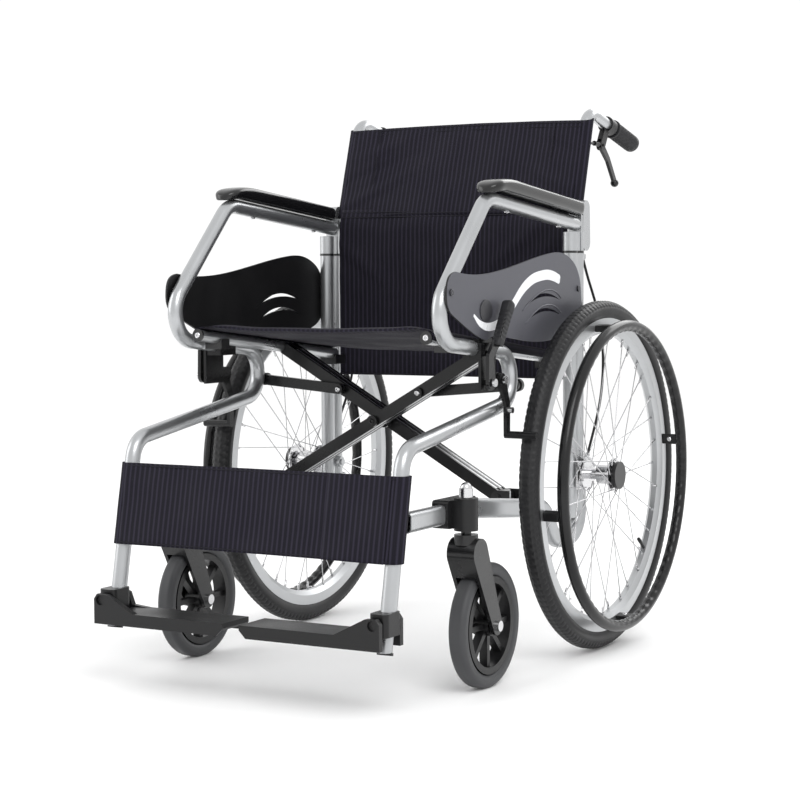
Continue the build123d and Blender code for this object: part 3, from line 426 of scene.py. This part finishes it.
def make_materials():
    return {
        "frame": silver("frame_silver"),
        "side_frame": silver("side_frame_finish", (
            ((WIDE, (-0.2284, -0.20), (0.45, 0.50)), *HARD_BLACK),
            (((0.19, 0.2374), (-0.44, -0.39), (0.52, 0.56)), *HARD_BLACK))),
        "rear_post": silver("rear_post_finish", (
            ((WIDE, WIDE, (0.69301, 0.69707)), *HARD_BLACK),
            (((0.19, 0.2375), (-0.07, -0.02), (0.47, 0.53)), *HARD_BLACK),
            (((0.2625, 0.267), WIDE, (0.27, 0.345)), *BRIGHT))),
        "lower_rail": silver("lower_rail_finish", ((((0.19, 0.2395), (-0.29, -0.18), WIDE), *HARD_BLACK),)),
        "seat_rail": silver("seat_rail_finish", (((WIDE, (-FAR, -0.4748), WIDE), *HARD_BLACK),)),
        "plastic": black("black_plastic", 0.36, 1600, 0.2),
        "bracket": black("brake_bracket_finish", 0.26, 2200, 0.08, gloss=0.3, zones=(
            (((0.2835, FAR), WIDE, WIDE), *BRIGHT),
            (((0.2765, FAR), (-0.345, -0.305), WIDE), *BRIGHT))),
        "shoe": black("brake_shoe_finish", 0.26, 2200, 0.08, gloss=0.3, zones=(
            (((0.2746, FAR), WIDE, (0.425, 0.447)), *BRIGHT),)),
        "metal": black("black_metal", 0.26, 2200, 0.08, coat=0.25, gloss=0.3),
        "rubber": surface("grip_rubber", (0.012, 0.012, 0.014), 0.5, grain=1300, grain_depth=0.3, variation=0.2,
                          gloss=0.35),
        "pad": black("armrest_black", 0.22, 1200, 0.12, coat=0.3),
        # Black guard plastic; its outer face gets a lighter slate grey colour, a painted reflection standing for the
        # light the near guard catches.
        "guard": black("guard_black_painted_reflection", 0.42, 1500, 0.35, gloss=0.4, zones=(
            (((0.2660, FAR), WIDE, WIDE), (0.080, 0.081, 0.096), 0.38, 0.3),)),
        "tyre": surface("tyre_rubber", (0.008, 0.008, 0.009), 0.45, grain=900, grain_depth=0.4, variation=0.25,
                        gloss=0.35),
        "caster": surface("caster_grey", (0.045, 0.046, 0.049), 0.5, grain=1100, grain_depth=0.3, variation=0.15,
                          gloss=0.4),
        "rim": surface("rim_silver", (0.50, 0.51, 0.52), 0.32, 0.85, grain=1800, grain_depth=0.1, variation=0.06),
        "hub": surface("hub_chrome", BRIGHT[0], 0.15, 1.0, grain=2000, grain_depth=0.04, variation=0.05, zones=(
            (((0.3335, FAR), WIDE, WIDE), *HARD_BLACK),
            (((-FAR, 0.2725), WIDE, WIDE), *HARD_BLACK))),
        "steel": surface("spoke_steel", (0.55, 0.55, 0.56), 0.22, 1.0, grain=2000, grain_depth=0.05, variation=0.05),
        "hoop": black("hand_rim_black", 0.22, 700, 0.08, coat=0.12, gloss=0.3),
        "fork": black("fork_black", 0.28, 1900, 0.15, coat=0.2, zones=(
            ((WIDE, WIDE, (0.3095, FAR)), *BRIGHT),
            (((0.3026, FAR), WIDE, (0.08, 0.12)), *BRIGHT),
            (((-FAR, 0.2546), WIDE, (0.08, 0.12)), *BRIGHT))),
        "foot": black("foot_black", 0.38, 1500, 0.25),
        "foot_hinge": black("foot_hinge_finish", 0.34, 1500, 0.25, zones=(
            ((WIDE, WIDE, (0.0985, 0.1228)), SILVER, 0.3, 0.8),)),
        "brace": black("brace_finish", 0.30, 1800, 0.1, coat=0.1),
        "badge": surface("badge_dark", (0.022, 0.022, 0.026), 0.35, grain=1500, grain_depth=0.1, variation=0.1),
        "chrome": surface("chrome", BRIGHT[0], 0.14, 1.0, grain=2000, grain_depth=0.03, variation=0.04),
        "inlay": surface("inlay_silver", (0.82, 0.83, 0.85), 0.30, 0.15, grain=1500, grain_depth=0.06,
                         variation=0.03),
        "cloth": striped_cloth("cloth", 0.009, (0.0080, 0.0072, 0.0115), (0.030, 0.027, 0.043)),
        "thread": surface("thread", (0.014, 0.013, 0.018), 0.7, grain=2500, grain_depth=0.4, variation=0.3,
                          gloss=0.15),
    }


NODE_FINISH = {
    "side_frame": "side_frame", "rear_post": "rear_post", "lower_rail": "lower_rail", "upper_cane": "frame",
    "handle_grip": "rubber", "attendant_bracket": "plastic", "attendant_lever": "metal", "lower_cable": "plastic",
    "upper_cable": "plastic", "armrest_pad": "pad", "side_guard": "guard", "caster_housing": "plastic",
    "caster_fork": "fork", "caster_wheel": "plastic", "caster_tyre": "caster", "rear_tyre": "tyre", "rear_rim": "rim",
    "rear_hub": "hub", "spokes": "steel", "pushrim": "hoop", "brake_bracket": "bracket", "brake_lever": "metal",
    "brake_shoe": "shoe", "footplate": "foot", "foot_hinge": "foot_hinge", "seat_rail": "seat_rail",
    "front_brace": "brace", "rear_brace": "brace", "stabiliser_link": "metal",
}


def finish_nodes(finishes):
    """Gives every CAD node that stays its material."""
    for node, obj in NODES.items():
        kind = node.removesuffix("_left").removesuffix("_right")
        if kind not in NODE_FINISH:
            continue
        material = finishes[NODE_FINISH[kind]]
        if not obj.material_slots:
            obj.data.materials.append(material)
        for slot in obj.material_slots:
            slot.material = material


# ---- wheels
def tread(angle, across):
    """Depth of the tread pattern, 0 on a block and 1 in a groove."""
    pitch = (angle * TYRE_R / 0.0125) % 1.0
    row = abs(across)
    if row > 1.15:
        return 1.0 if row < 1.22 else 0.25
    if row < 0.10 or 0.50 < row < 0.58:
        return 1.0
    shifted = (pitch + (0.5 if row > 0.54 else 0.0) + 0.35 * row) % 1.0
    return 1.0 if shifted < 0.26 else 0.0


def ring(name, x, major, rows, section, radius_at, material):
    """A ring round the wheel's axis at x; section lists the angles round its tube."""
    points = []
    for i in range(rows):
        angle = tau * i / rows
        for around in section:
            radius = radius_at(angle, around)
            reach = major + radius * cos(around)
            offset = Vector((radius * sin(around), reach * cos(angle), reach * sin(angle)))
            points.append(Vector((x, AXLE_Y, AXLE_Z)) + offset)
    return mesh_object(name, points, grid_faces(rows, len(section), True, True), material=material)


def rear_tyre(side, sign, finishes):
    """Tyre with a block tread."""
    minor, columns = 0.0175, 40
    section = [tau * (j + 0.5) / columns - pi for j in range(columns)]

    def radius_at(angle, around):
        return minor - (0.0011 * tread(angle, around) if abs(around) < 1.6 else 0.0004)

    obj = ring(f"tyre_tread_{side}", sign * WHEEL_X, TYRE_R - minor, 920, section, radius_at, finishes["tyre"])
    sharp(obj, 30)
    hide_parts(f"rear_tyre_{side}")
    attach(obj, f"rear_wheel_{side}")


def hand_rim(side, sign, finishes):
    """Hand rim with finger waves, its four brackets and their screws."""
    major, minor, columns, waves = TYRE_R - 0.044, 0.010, 20, 70
    section = [tau * j / columns for j in range(columns)]

    def radius_at(angle, around):
        dip = 0.0016 * (0.5 - 0.5 * cos(angle * waves))
        return minor - dip * max(0.0, -cos(around)) ** 1.5

    hoop = ring(f"hand_rim_{side}", sign * (WHEEL_X + 0.048), major, 560, section, radius_at, finishes["hoop"])
    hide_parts(f"pushrim_{side}")
    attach(hoop, f"rear_wheel_{side}")
    for n in range(4):
        turn = Matrix.Rotation(radians(100 + 90 * n), 3, "X")
        x0, x1 = WHEEL_X + 0.0121, WHEEL_X + 0.040
        half, low, high = 0.010, major - 0.0045, major + 0.0065
        outline = [(-half, low), (half, low), (half * 0.7, high), (-half * 0.7, high)]
        corners = [turn @ Vector((0, y, z)) for y, z in outline]
        points = [Vector((sign * x, c.y + AXLE_Y, c.z + AXLE_Z)) for x in (x0, x1) for c in corners]
        tab = mesh_object(f"hand_rim_bracket_{n + 1}_{side}", points, prism_faces(4), smooth=False,
                          material=finishes["plastic"])
        edge = tab.modifiers.new("edge", "BEVEL")
        edge.width, edge.segments = 0.0018, 3
        finished(tab)
        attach(tab, f"rear_wheel_{side}")
        spot = turn @ Vector((0, 0, low))
        inward = turn @ Vector((0, 0, -1))
        place = Vector((sign * (WHEEL_X + 0.027), spot.y + AXLE_Y, spot.z + AXLE_Z))
        socket_screw(f"hand_rim_screw_{n + 1}_{side}", place, inward, 0.0042, f"rear_wheel_{side}",
                     finishes["chrome"], 0.0022)


def valve(side, sign, finishes):
    """Tyre valve on the rim."""
    angle = radians(-38)
    inward = Vector((0, -cos(angle), -sin(angle)))
    start = Vector((sign * WHEEL_X, AXLE_Y, AXLE_Z)) - inward * 0.252
    stem = lathe(f"valve_{side}", ((0, 0.003), (0.022, 0.003), (0.023, 0.0035), (0.034, 0.0033), (0.036, 0.002)),
                 start, inward, 16, finishes["plastic"])
    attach(stem, f"rear_wheel_{side}")


# ---- armrests, guards, grips
def armrest(side, sign, finishes):
    """Moulded armrest: a crowned top over a narrower base."""
    low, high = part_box(f"armrest_pad_{side}")
    y_rear, y_front = high[1], low[1]
    x_mid = sign * 0.2545
    rows, columns = 64, 28
    points = []
    for i in range(rows):
        even = i / (rows - 1)
        t = 0.35 * even + 0.65 * (0.5 - 0.5 * cos(pi * even))
        y = y_rear + (y_front - y_rear) * t
        rear_end = (1 - (1 - min(1, (y_rear - y) / 0.018)) ** 2.4) ** 0.5
        front_end = (1 - (1 - min(1, (y - y_front) / 0.028)) ** 2.2) ** 0.5
        width = max(0.0238 * rear_end * front_end, 0.0012) * (0.90 + 0.10 * min(1, t * 3))
        along = y - AXLE_Y
        arm_z = arm_height(along)
        drop = min(1.0, max(0.0, (-0.262 - along) / 0.092))
        top = arm_z + 0.0385 - 0.0170 * drop ** 2.2 - 0.006 * (1 - rear_end)
        nose = min(1.0, max(0.0, (-0.312 - along) / 0.042))
        bottom = arm_z + 0.0135 - 0.0115 * nose ** 1.6
        squeeze = (1 - front_end) * 0.45
        top, bottom = top - (top - bottom) * squeeze, bottom + (top - bottom) * squeeze * 0.6
        middle, half = (top + bottom) / 2, (top - bottom) / 2
        for j in range(columns):
            angle = tau * j / columns
            c, s = cos(angle), sin(angle)
            power = 0.62 if s > 0 else 0.32
            x = abs(c) ** 0.55 * (1 if c > 0 else -1) * width * (1.0 if s > -0.2 else 0.93)
            z = abs(s) ** power * (1 if s > 0 else -1) * half
            points.append(Vector((x_mid + x, y, middle + z)))
    pad = mesh_object(f"armrest_{side}", points, tube_faces(rows, columns), material=finishes["pad"])
    pad.modifiers.new("round", "SUBSURF").levels = 1
    finished(pad)
    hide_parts(f"armrest_pad_{side}")
    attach(pad, f"frame_{side}")
    for n, along in enumerate((-0.262, -0.062)):
        place = at(sign * FRAME_X, along, arm_height(along) - 0.0124)
        socket_screw(f"armrest_screw_{n + 1}_{side}", place, (0, 0, -1), 0.0048, f"frame_{side}", finishes["chrome"])


# the inlay's centreline and half width, (y, z, half) in millimetres
INLAY = ((-95, 647, 8), (-120, 653, 8.5), (-148, 655, 8.5), (-190, 650, 8.5), (-220, 640, 8.5), (-244, 627, 8),
         (-270, 608, 7.5), (-297, 590, 7.5), (-325, 577, 7), (-361, 572, 6.5), (-390, 578, 5), (-412, 592, 2))


def inlay_outline():
    """Closed outline of a band round the inlay's centreline, with a rounded rear end."""
    path = smooth_curve([(y, z) for y, z, half in INLAY], 4, closed=False)
    widths = smooth_curve([(half, 0) for y, z, half in INLAY], 4, closed=False)
    upper, lower = [], []
    for k, (y, z) in enumerate(path):
        ahead, behind = path[min(k + 1, len(path) - 1)], path[max(k - 1, 0)]
        normal = Vector((behind[1] - ahead[1], ahead[0] - behind[0])).normalized() * widths[k][0]
        upper.append((y + normal.x, z + normal.y))
        lower.append((y - normal.x, z - normal.y))
    y, z = path[0]
    heading = Vector((y - path[1][0], z - path[1][1])).normalized()
    cap = [(y + 3.2 * heading.x + t * (upper[0][0] - y) * 0.62, z + 3.2 * heading.y + t * (upper[0][1] - z) * 0.62)
           for t in (1, -1)]
    return cap[:1] + upper + lower[::-1] + cap[1:]


def guard_rib(name, low, rise, reach, x, body, material):
    """A raised lip along a slot of the guard."""
    start, middle, end = (-95 - reach, low - 1), (-150, low + rise + 16.5), (-88, low + rise + 3.5)
    bow = [2 * m - (a + b) / 2 for a, m, b in zip(start, middle, end)]
    path = []
    for k in range(25):
        t = k / 24
        weights = ((1 - t) * (1 - t), 2 * t * (1 - t), t * t)
        y, z = (sum(w * p[axis] for w, p in zip(weights, (start, bow, end))) / 1000 for axis in (0, 1))
        path.append(at(x, y, z))
    rib = bead(name, path, 0.0015, material)
    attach(rib, body)


def guard_trim(side, sign, finishes):
    """Inlay, blank badge, slot lips and screws on the side guard."""
    face = FRAME_X + 0.0164
    body = f"frame_{side}"
    outline_plate(f"guard_inlay_{side}", inlay_outline(), sign * (face + 0.0001), 0.0010, body, finishes["inlay"],
                  0.0002)
    disc = [(21 * cos(tau * k / 40) - 370, 18 * sin(tau * k / 40) + 598) for k in range(40)]
    outline_plate(f"guard_badge_{side}", disc, sign * (face + 0.0008), 0.0018, body, finishes["badge"],
                  0.0006)
    dish = [(17.5 * cos(tau * k / 40) - 370, 14.5 * sin(tau * k / 40) + 598) for k in range(40)]
    outline_plate(f"guard_badge_face_{side}", dish, sign * (face + 0.0016), 0.0008, body, finishes["badge"],
                  0.0003)
    for n, (low, rise, reach) in enumerate(((575, 12, 132), (597, 15, 142))):
        guard_rib(f"guard_rib_{n + 1}_{side}", low, rise, reach, sign * (face - 0.0003), body, finishes["guard"])
    for n, (y, z) in enumerate(((-0.487, 0.628), (-0.016, 0.631))):
        socket_screw(f"guard_screw_{n + 1}_{side}", at(sign * face, y, z), (sign, 0, 0), 0.0054, body,
                     finishes["metal"], 0.0027)


def grip(side, sign, finishes):
    """Rubber grip with finger ribs."""
    along = Vector((0, cos(HANDLE_DROP), -sin(HANDLE_DROP)))
    bend = at(sign * CANE_X, CANE_FOOT[0] + CANE_RISE * tan(RECLINE), CANE_FOOT[1] + CANE_RISE)
    profile = [(0.0, 0.0125), (0.0, 0.0160), (0.001, 0.0172), (0.004, 0.0174), (0.006, 0.0158)]
    ribs = 26
    for k in range(ribs * 4):
        run = 0.008 + 0.080 * k / (ribs * 4)
        profile.append((run, 0.0155 + 0.0006 * (1 if k % 4 in (1, 2) else 0)))
    profile += [(0.090, 0.0155), (0.0915, 0.0160), (0.0950, 0.0160), (0.0972, 0.0150), (0.098, 0.011),
                (0.098, 0.004)]
    obj = lathe(f"grip_{side}", profile, bend + along * 0.112, along, 36, finishes["rubber"])
    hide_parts(f"handle_grip_{side}")
    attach(obj, f"back_{side}")


def brake_grip(side, sign, finishes):
    """Ribbed grip over the parking brake lever's end."""
    start, end = at(sign * 0.2815, -0.357, 0.548), at(sign * 0.2815, -0.322, 0.603)
    along = (end - start).normalized()
    across = Vector((0, along.z, -along.y))
    length = (end - start).length + 0.012
    rows, columns = 74, 32
    points = []
    for i in range(rows):
        t = i / (rows - 1)
        run = -0.006 + (length + 0.006) * t
        radius = 0.0086 + 0.0017 * t
        if 0.12 < t < 0.78:
            radius -= 0.0009 * (0.5 - 0.5 * cos((t - 0.12) * tau * 11)) ** 2
        end_on = min(0.98, max(0.0, (t - 0.86) / 0.14))
        half_across = radius * (1 - end_on ** 2.4) ** 0.5
        half_x = (radius - 0.0009) * (1 - end_on ** 5) ** 0.5
        for j in range(columns):
            angle = tau * j / columns
            c, s = cos(angle), sin(angle)
            skew = 0.0022 * c * (1 - t)
            squared = (abs(c) ** 4 + abs(s) ** 4) ** -0.25
            offset = Vector((half_x * s * squared, 0, 0)) + across * (half_across * c * squared)
            points.append(start + along * (run + skew) + offset)
    obj = mesh_object(f"brake_grip_{side}", points, tube_faces(rows, columns), material=finishes["rubber"])
    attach(obj, f"brake_lever_{side}")


LINK_BOLT = (0.0887, 0.4581)
BRACES = (("front", 1, -0.255, "brace_front"), ("rear", -1, -0.211, "brace_rear"))


def cross_details(finishes):
    """Bare channels along the braces, and the silver screws of the cross and the seat rails."""
    channel = ((-0.0042, 0.0085), (-0.0042, 0.0092), (-0.003, 0.0096), (0.003, 0.0096), (0.0042, 0.0092),
               (0.0042, 0.0085))
    for name, direction, y_mid, body in BRACES:
        along = Vector((direction * cos(CROSS_ANGLE), 0, sin(CROSS_ANGLE)))
        normal = Vector((-direction * sin(CROSS_ANGLE), 0, cos(CROSS_ANGLE)))
        for n, (side, offset) in enumerate(((1, -0.008), (1, 0.008), (-1, -0.008), (-1, 0.008))):
            points = [at(0, y_mid + offset + dy, CROSS_Z) + along * run + normal * (side * lift)
                      for run in (-0.236, 0.222) for dy, lift in channel]
            strip = mesh_object(f"brace_channel_{n + 1}_{name}", points, prism_faces(len(channel)), smooth=False,
                                material=finishes["rim"])
            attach(strip, body)
    x, z = LINK_BOLT
    front = (0, -1, 0)
    socket_screw("link_screw_left", at(x, -0.277, z), front, 0.0048, "brace_front", finishes["chrome"])
    socket_screw("link_screw_right", at(-x, -0.2426, z), front, 0.0048, "link_right", finishes["chrome"])
    socket_screw("cross_screw", at(0, -0.278, CROSS_Z), front, 0.0050, "brace_front", finishes["metal"])
    for side, sign in SIDES:
        body = "brace_front" if sign > 0 else "brace_rear"
        spot = at(sign * RAIL_X, -0.4789, seat_height(-0.4789))
        outward = (0, -cos(SEAT_TILT), sin(SEAT_TILT))
        socket_screw(f"seat_rail_screw_{side}", spot, outward, 0.0050, body, finishes["chrome"])


def nipples(side, sign, finishes):
    """Spoke nipples on the rim, all in one piece."""
    points, faces = [], []
    rim_r = 0.2450
    for n in range(36):
        angle = tau * n / 36
        outward = 1 if n % 2 else -1
        lead = 1 if n // 2 % 2 else -1
        radial = Vector((0, cos(angle), sin(angle)))
        tangent = Vector((0, -sin(angle), cos(angle)))
        for run, radius in ((0.0035, 0.0024), (-0.002, 0.0022), (-0.009, 0.0018), (-0.0112, 0.0012)):
            lean = outward * 0.003 + lead * 0.0015 + 0.06 * outward * min(0, run)
            centre = Vector((sign * (WHEEL_X + lean), AXLE_Y, AXLE_Z)) + radial * (rim_r + run)
            for k in range(8):
                turn = tau * k / 8
                points.append(centre + tangent * radius * cos(turn) + Vector((radius * sin(turn), 0, 0)))
        base = n * 32
        faces += [tuple(base + v for v in face) for face in tube_faces(4, 8)]
    obj = mesh_object(f"spoke_nipples_{side}", points, faces, material=finishes["chrome"])
    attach(obj, f"rear_wheel_{side}")


# ---- cables
UPPER_CABLE = ((0, 117.9, 891.9), (0, 103.0, 892.6), (-1, 87.0, 882.0), (-2, 75.5, 856.0), (-2, 66.0, 826.0))
LOWER_CABLE = ((4, 33.0, 682.0), (5, 46.0, 656.0), (6, 70.0, 622.0), (8, 92.0, 584.0), (10, 104.0, 540.0),
               (12, 104.0, 494.0), (14, 93.0, 450.0), (16, 73.0, 410.0), (17, 44.0, 368.0), (17, 24.0, 338.0))


def cable(name, route, x_mid, sign, body, node, finishes):
    """A cable on a smooth spline led by its route, which is (x outward, y, z) in millimetres."""
    curve = bpy.data.curves.new(name, "CURVE")
    curve.dimensions = "3D"
    curve.bevel_depth, curve.bevel_resolution, curve.resolution_u = 0.0024, 4, 10
    curve.use_fill_caps = True
    spline = curve.splines.new("NURBS")
    spline.points.add(len(route) - 1)
    for point, (x, y, z) in zip(spline.points, route):
        point.co = (*at(sign * (x_mid + x / 1000), y / 1000, z / 1000), 1)
    spline.order_u = 3
    spline.use_endpoint_u = True
    obj = bpy.data.objects.new(name, curve)
    bpy.context.collection.objects.link(obj)
    curve.materials.append(finishes["plastic"])
    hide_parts(node)
    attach(obj, body)
    x, y, z = route[0]


# ---- cloth
def sleeve_section(x_mid, radius, end, steps):
    """The section of a sleeve: (x, forward) points round a tube, from its front to the angle end."""
    angles = [end * k / steps for k in range(steps + 1)]
    points = [(x_mid + radius * sin(a), radius * cos(a)) for a in angles]
    return lambda u: points


def wrinkle(x, height, folds):
    """Depth of a few long soft folds; each is (x, height, slope, width, depth), in metres."""
    total = 0.0
    for x0, h0, slope, width, depth in folds:
        away = ((height - h0) - slope * (x - x0)) / width
        reach = (x - x0) / 0.075
        total += depth * exp(-away * away - reach * reach)
    return total


def cloth_sheet(name, place, section, rows, length, thickness, material, seed, crease=0.0015, folds=()):
    """A sheet swept along its length. place(u, forward, x) gives a point; section(u) gives (x, forward) pairs."""
    points, uv = [], []
    columns = 0
    for i in range(rows):
        u = i / (rows - 1)
        across, run = section(u), 0.0
        columns = len(across)
        for j, (x, forward) in enumerate(across):
            if j:
                run += Vector((x - across[j - 1][0], forward - across[j - 1][1])).length
            push = crumple((x, u * length, 0), 0.06, crease, seed)
            push += crumple((x * 0.5, u * length, 1), 0.018, crease * 0.3, seed) + wrinkle(x, u * length, folds)
            points.append(place(u, forward + push, x))
            uv.append((run, u * length))
    obj = mesh_object(name, points, grid_faces(rows, columns), uv=uv, material=material)
    solid = obj.modifiers.new("thick", "SOLIDIFY")
    solid.thickness, solid.offset = thickness, 1
    return finished(obj)


def bead(name, path, radius, material):
    """A thin round seam or hem along points."""
    points = []
    sides = 6
    for i, p in enumerate(path):
        ahead = path[min(i + 1, len(path) - 1)] - path[max(i - 1, 0)]
        turn = Vector((0, 0, 1)).rotation_difference(ahead.normalized()).to_matrix()
        for k in range(sides):
            points.append(p + turn @ Vector((radius * cos(tau * k / sides), radius * sin(tau * k / sides), 0)))
    return mesh_object(name, points, tube_faces(len(path), sides), material=material)


def cane_place(rise, forward, x):
    """A point by its rise along the cane and its distance in front of it."""
    y = CANE_FOOT[0] + rise * tan(RECLINE) - forward * cos(RECLINE)
    z = CANE_FOOT[1] + rise - forward * sin(RECLINE)
    return at(x, y, z)


def span(x0, x1, forward, sag, steps):
    """Points (x, forward) of a panel between two tubes, hollowed in the middle."""
    result = []
    for k in range(steps + 1):
        x = x0 + (x1 - x0) * k / steps
        t = 2 * k / steps - 1
        result.append((x, forward - sag * (1 - t * t)))
    return result


def back_cloth(finishes):
    """Upper back: a panel between the canes and a sleeve round each."""
    low, high = 0.015, 0.181
    height = high - low

    def place(u, forward, x):
        return cane_place(low + height * u, forward, x)

    radius = 0.0124

    def middle(u):
        return span(-CANE_X, CANE_X, radius, 0.010 + 0.006 * u, 72)

    folds = ((-0.185, 0.045, 0.45, 0.010, 0.0035), (-0.185, 0.085, 0.35, 0.009, -0.0028),
             (-0.180, 0.125, 0.25, 0.011, 0.0026), (0.190, 0.060, -0.40, 0.010, 0.0026),
             (0.190, 0.120, -0.30, 0.011, -0.0022), (-0.05, 0.09, 0.1, 0.016, 0.002))
    panel = cloth_sheet("back_panel", place, middle, 44, height, 0.0022, finishes["cloth"], 3, 0.0018, folds)
    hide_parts("back_upper")
    settle(panel, "back_left")
    for side, sign in SIDES:
        wrap = sleeve_section(sign * CANE_X, radius, sign * radians(235), 16)
        sleeve = cloth_sheet(f"back_sleeve_{side}", place, wrap, 24, height, 0.0020 * sign, finishes["cloth"],
                             4 + sign, 0.0008)
        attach(sleeve, f"back_{side}")
    for n, u in enumerate((0.985, 0.94, 0.03)):
        path = [place(u, forward + 0.0024, x) for x, forward in middle(u)]
        seam = bead(f"back_seam_{n + 1}", path, 0.0011 if n != 1 else 0.0006, finishes["thread"])
        settle(seam, "back_left")
    for side, sign in SIDES:
        x = sign * 0.181
        hollow = 0.010 * (1 - (x / CANE_X) ** 2)
        path = [place(k / 30, radius - hollow + 0.0018, x) for k in range(31)]
        seam = bead(f"back_side_seam_{side}", path, 0.0008, finishes["thread"])
        settle(seam, "back_left")


def settle(obj, body):
    """Rides a piece of cloth on a body, with a mesh of its own."""
    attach(obj, body)
    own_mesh(obj)


def lower_back(finishes):
    """Lower back: a panel between the posts, and the flap that joins it to the upper one."""
    half, low, high = 0.2350, 0.470, 0.778
    height = high - low

    def place(u, forward, x):
        lean = max(0.0, (u - 0.86) / 0.14)
        return at(x, 0.0135 - forward + 0.012 * lean ** 2, low + height * u)

    def section(u):
        return span(-half, half, 0.004, 0.016, 64)

    folds = ((0.150, 0.190, 0.9, 0.016, 0.0040), (0.185, 0.150, 1.0, 0.013, -0.0035),
             (0.120, 0.235, 0.7, 0.014, 0.0030), (-0.190, 0.210, -0.8, 0.014, 0.0030))
    panel = cloth_sheet("lower_back_panel", place, section, 56, height, 0.0022, finishes["cloth"], 11, 0.0018, folds)
    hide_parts("back_lower")
    settle(panel, "frame_left")
    for n, u in enumerate((0.008, 0.955, 0.985)):
        path = [place(u, forward + 0.0024, x) for x, forward in section(u)]
        seam = bead(f"lower_back_seam_{n + 1}", path, 0.0010, finishes["thread"])
        settle(seam, "frame_left")


def seat(finishes):
    """Padded sling over both rails."""
    front, rear = -0.4745, -0.047
    rows, radius = 60, 0.0116

    def profile():
        """Closed outline (x, z) about the rail's axis."""
        top, bottom = [], []
        steps = 60
        for k in range(steps + 1):
            x = -RAIL_X + 2 * RAIL_X * k / steps
            t = abs(x) / RAIL_X
            hug = max(0.0, (t - 0.80) / 0.20)
            crown = 0.0205 - 0.0055 * (1 - t * t) - 0.0075 * hug ** 2
            floor = crown - 0.0095 + 0.0085 * hug ** 1.5
            top.append((x, crown))
            bottom.append((x, floor if t < 0.93 else max(floor, 0.0102)))
        wrap = [radians(105) * (k + 1) / 14 for k in range(14)]
        outer = [(RAIL_X + (radius + 0.0014) * sin(a), (radius + 0.0014) * cos(a)) for a in wrap]
        outer += [(RAIL_X + 0.0105 * sin(a), 0.0105 * cos(a)) for a in wrap[::-1]]
        return top + outer + bottom[::-1] + [(-x, z) for x, z in outer[::-1]]

    points, uv, outline = [], [], profile()
    for i in range(rows):
        u = i / (rows - 1)
        y = front + (rear - front) * u
        edge = min(1.0, min(u, 1 - u) / 0.03)
        for x, lift in outline:
            inner = abs(x) < RAIL_X * 0.95
            pull = (1 - edge) * 0.0028 * (1 if lift > 0.012 else -1) if inner else 0.0
            wave = crumple((x, y, 0), 0.07, 0.0022, 21) if inner else 0.0
            points.append(at(x, y, seat_height(y) + lift - pull + wave))
            uv.append((x, y))
    sling = mesh_object("seat_pad", points, tube_faces(rows, len(outline)), uv=uv, material=finishes["cloth"])
    sharp(sling, 50)
    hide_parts("seat_sling")
    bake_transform(sling)


def strap(finishes):
    """Calf strap: a panel between the legs and a wrap round each leg tube."""
    low, high, radius = 0.227, 0.356, 0.0142

    def place(u, forward, x):
        z = low + (high - low) * u
        y = LEG_TOP[0] - (LEG_TOP[1] - z) * LEG_SLOPE
        return at(x, y - forward, z)

    def middle(u):
        return span(-FRAME_X, FRAME_X, radius, 0.006, 72)

    panel = cloth_sheet("calf_panel", place, middle, 26, high - low, 0.0024, finishes["cloth"], 31)
    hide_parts("calf_strap")
    settle(panel, "frame_left")
    for side, sign in SIDES:
        wrap = sleeve_section(sign * FRAME_X, radius, sign * radians(170), 14)
        piece = cloth_sheet(f"calf_wrap_{side}", place, wrap, 26, high - low, 0.0022 * sign, finishes["cloth"],
                            33 + sign, 0.0006)
        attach(piece, f"frame_{side}")
    for n, u in enumerate((0.03, 0.97)):
        path = [place(u, forward + 0.0026, x) for x, forward in middle(u)]
        seam = bead(f"calf_seam_{n + 1}", path, 0.0009, finishes["thread"])
        settle(seam, "frame_left")

    def flap(u):
        return [(x, f + 0.0030) for x, f in middle(u) if 0.130 < x < 0.247]

    overlap = cloth_sheet("calf_flap", place, flap, 26, high - low - 0.002, 0.0018, finishes["cloth"], 37, 0.0006)
    settle(overlap, "frame_left")


def main():
    set_camera()
    set_studio()
    finishes = make_materials()
    finish_nodes(finishes)
    for side, sign in SIDES:
        cable(f"cable_upper_{side}", UPPER_CABLE, CANE_X, sign, f"back_{side}", f"upper_cable_{side}",
              finishes)
        cable(f"cable_lower_{side}", LOWER_CABLE, FRAME_X, sign, f"frame_{side}", f"lower_cable_{side}",
              finishes)
        rear_tyre(side, sign, finishes)
        hand_rim(side, sign, finishes)
        valve(side, sign, finishes)
        armrest(side, sign, finishes)
        guard_trim(side, sign, finishes)
        grip(side, sign, finishes)
        brake_grip(side, sign, finishes)
        nipples(side, sign, finishes)
    back_cloth(finishes)
    lower_back(finishes)
    seat(finishes)
    strap(finishes)
    cross_details(finishes)


main()
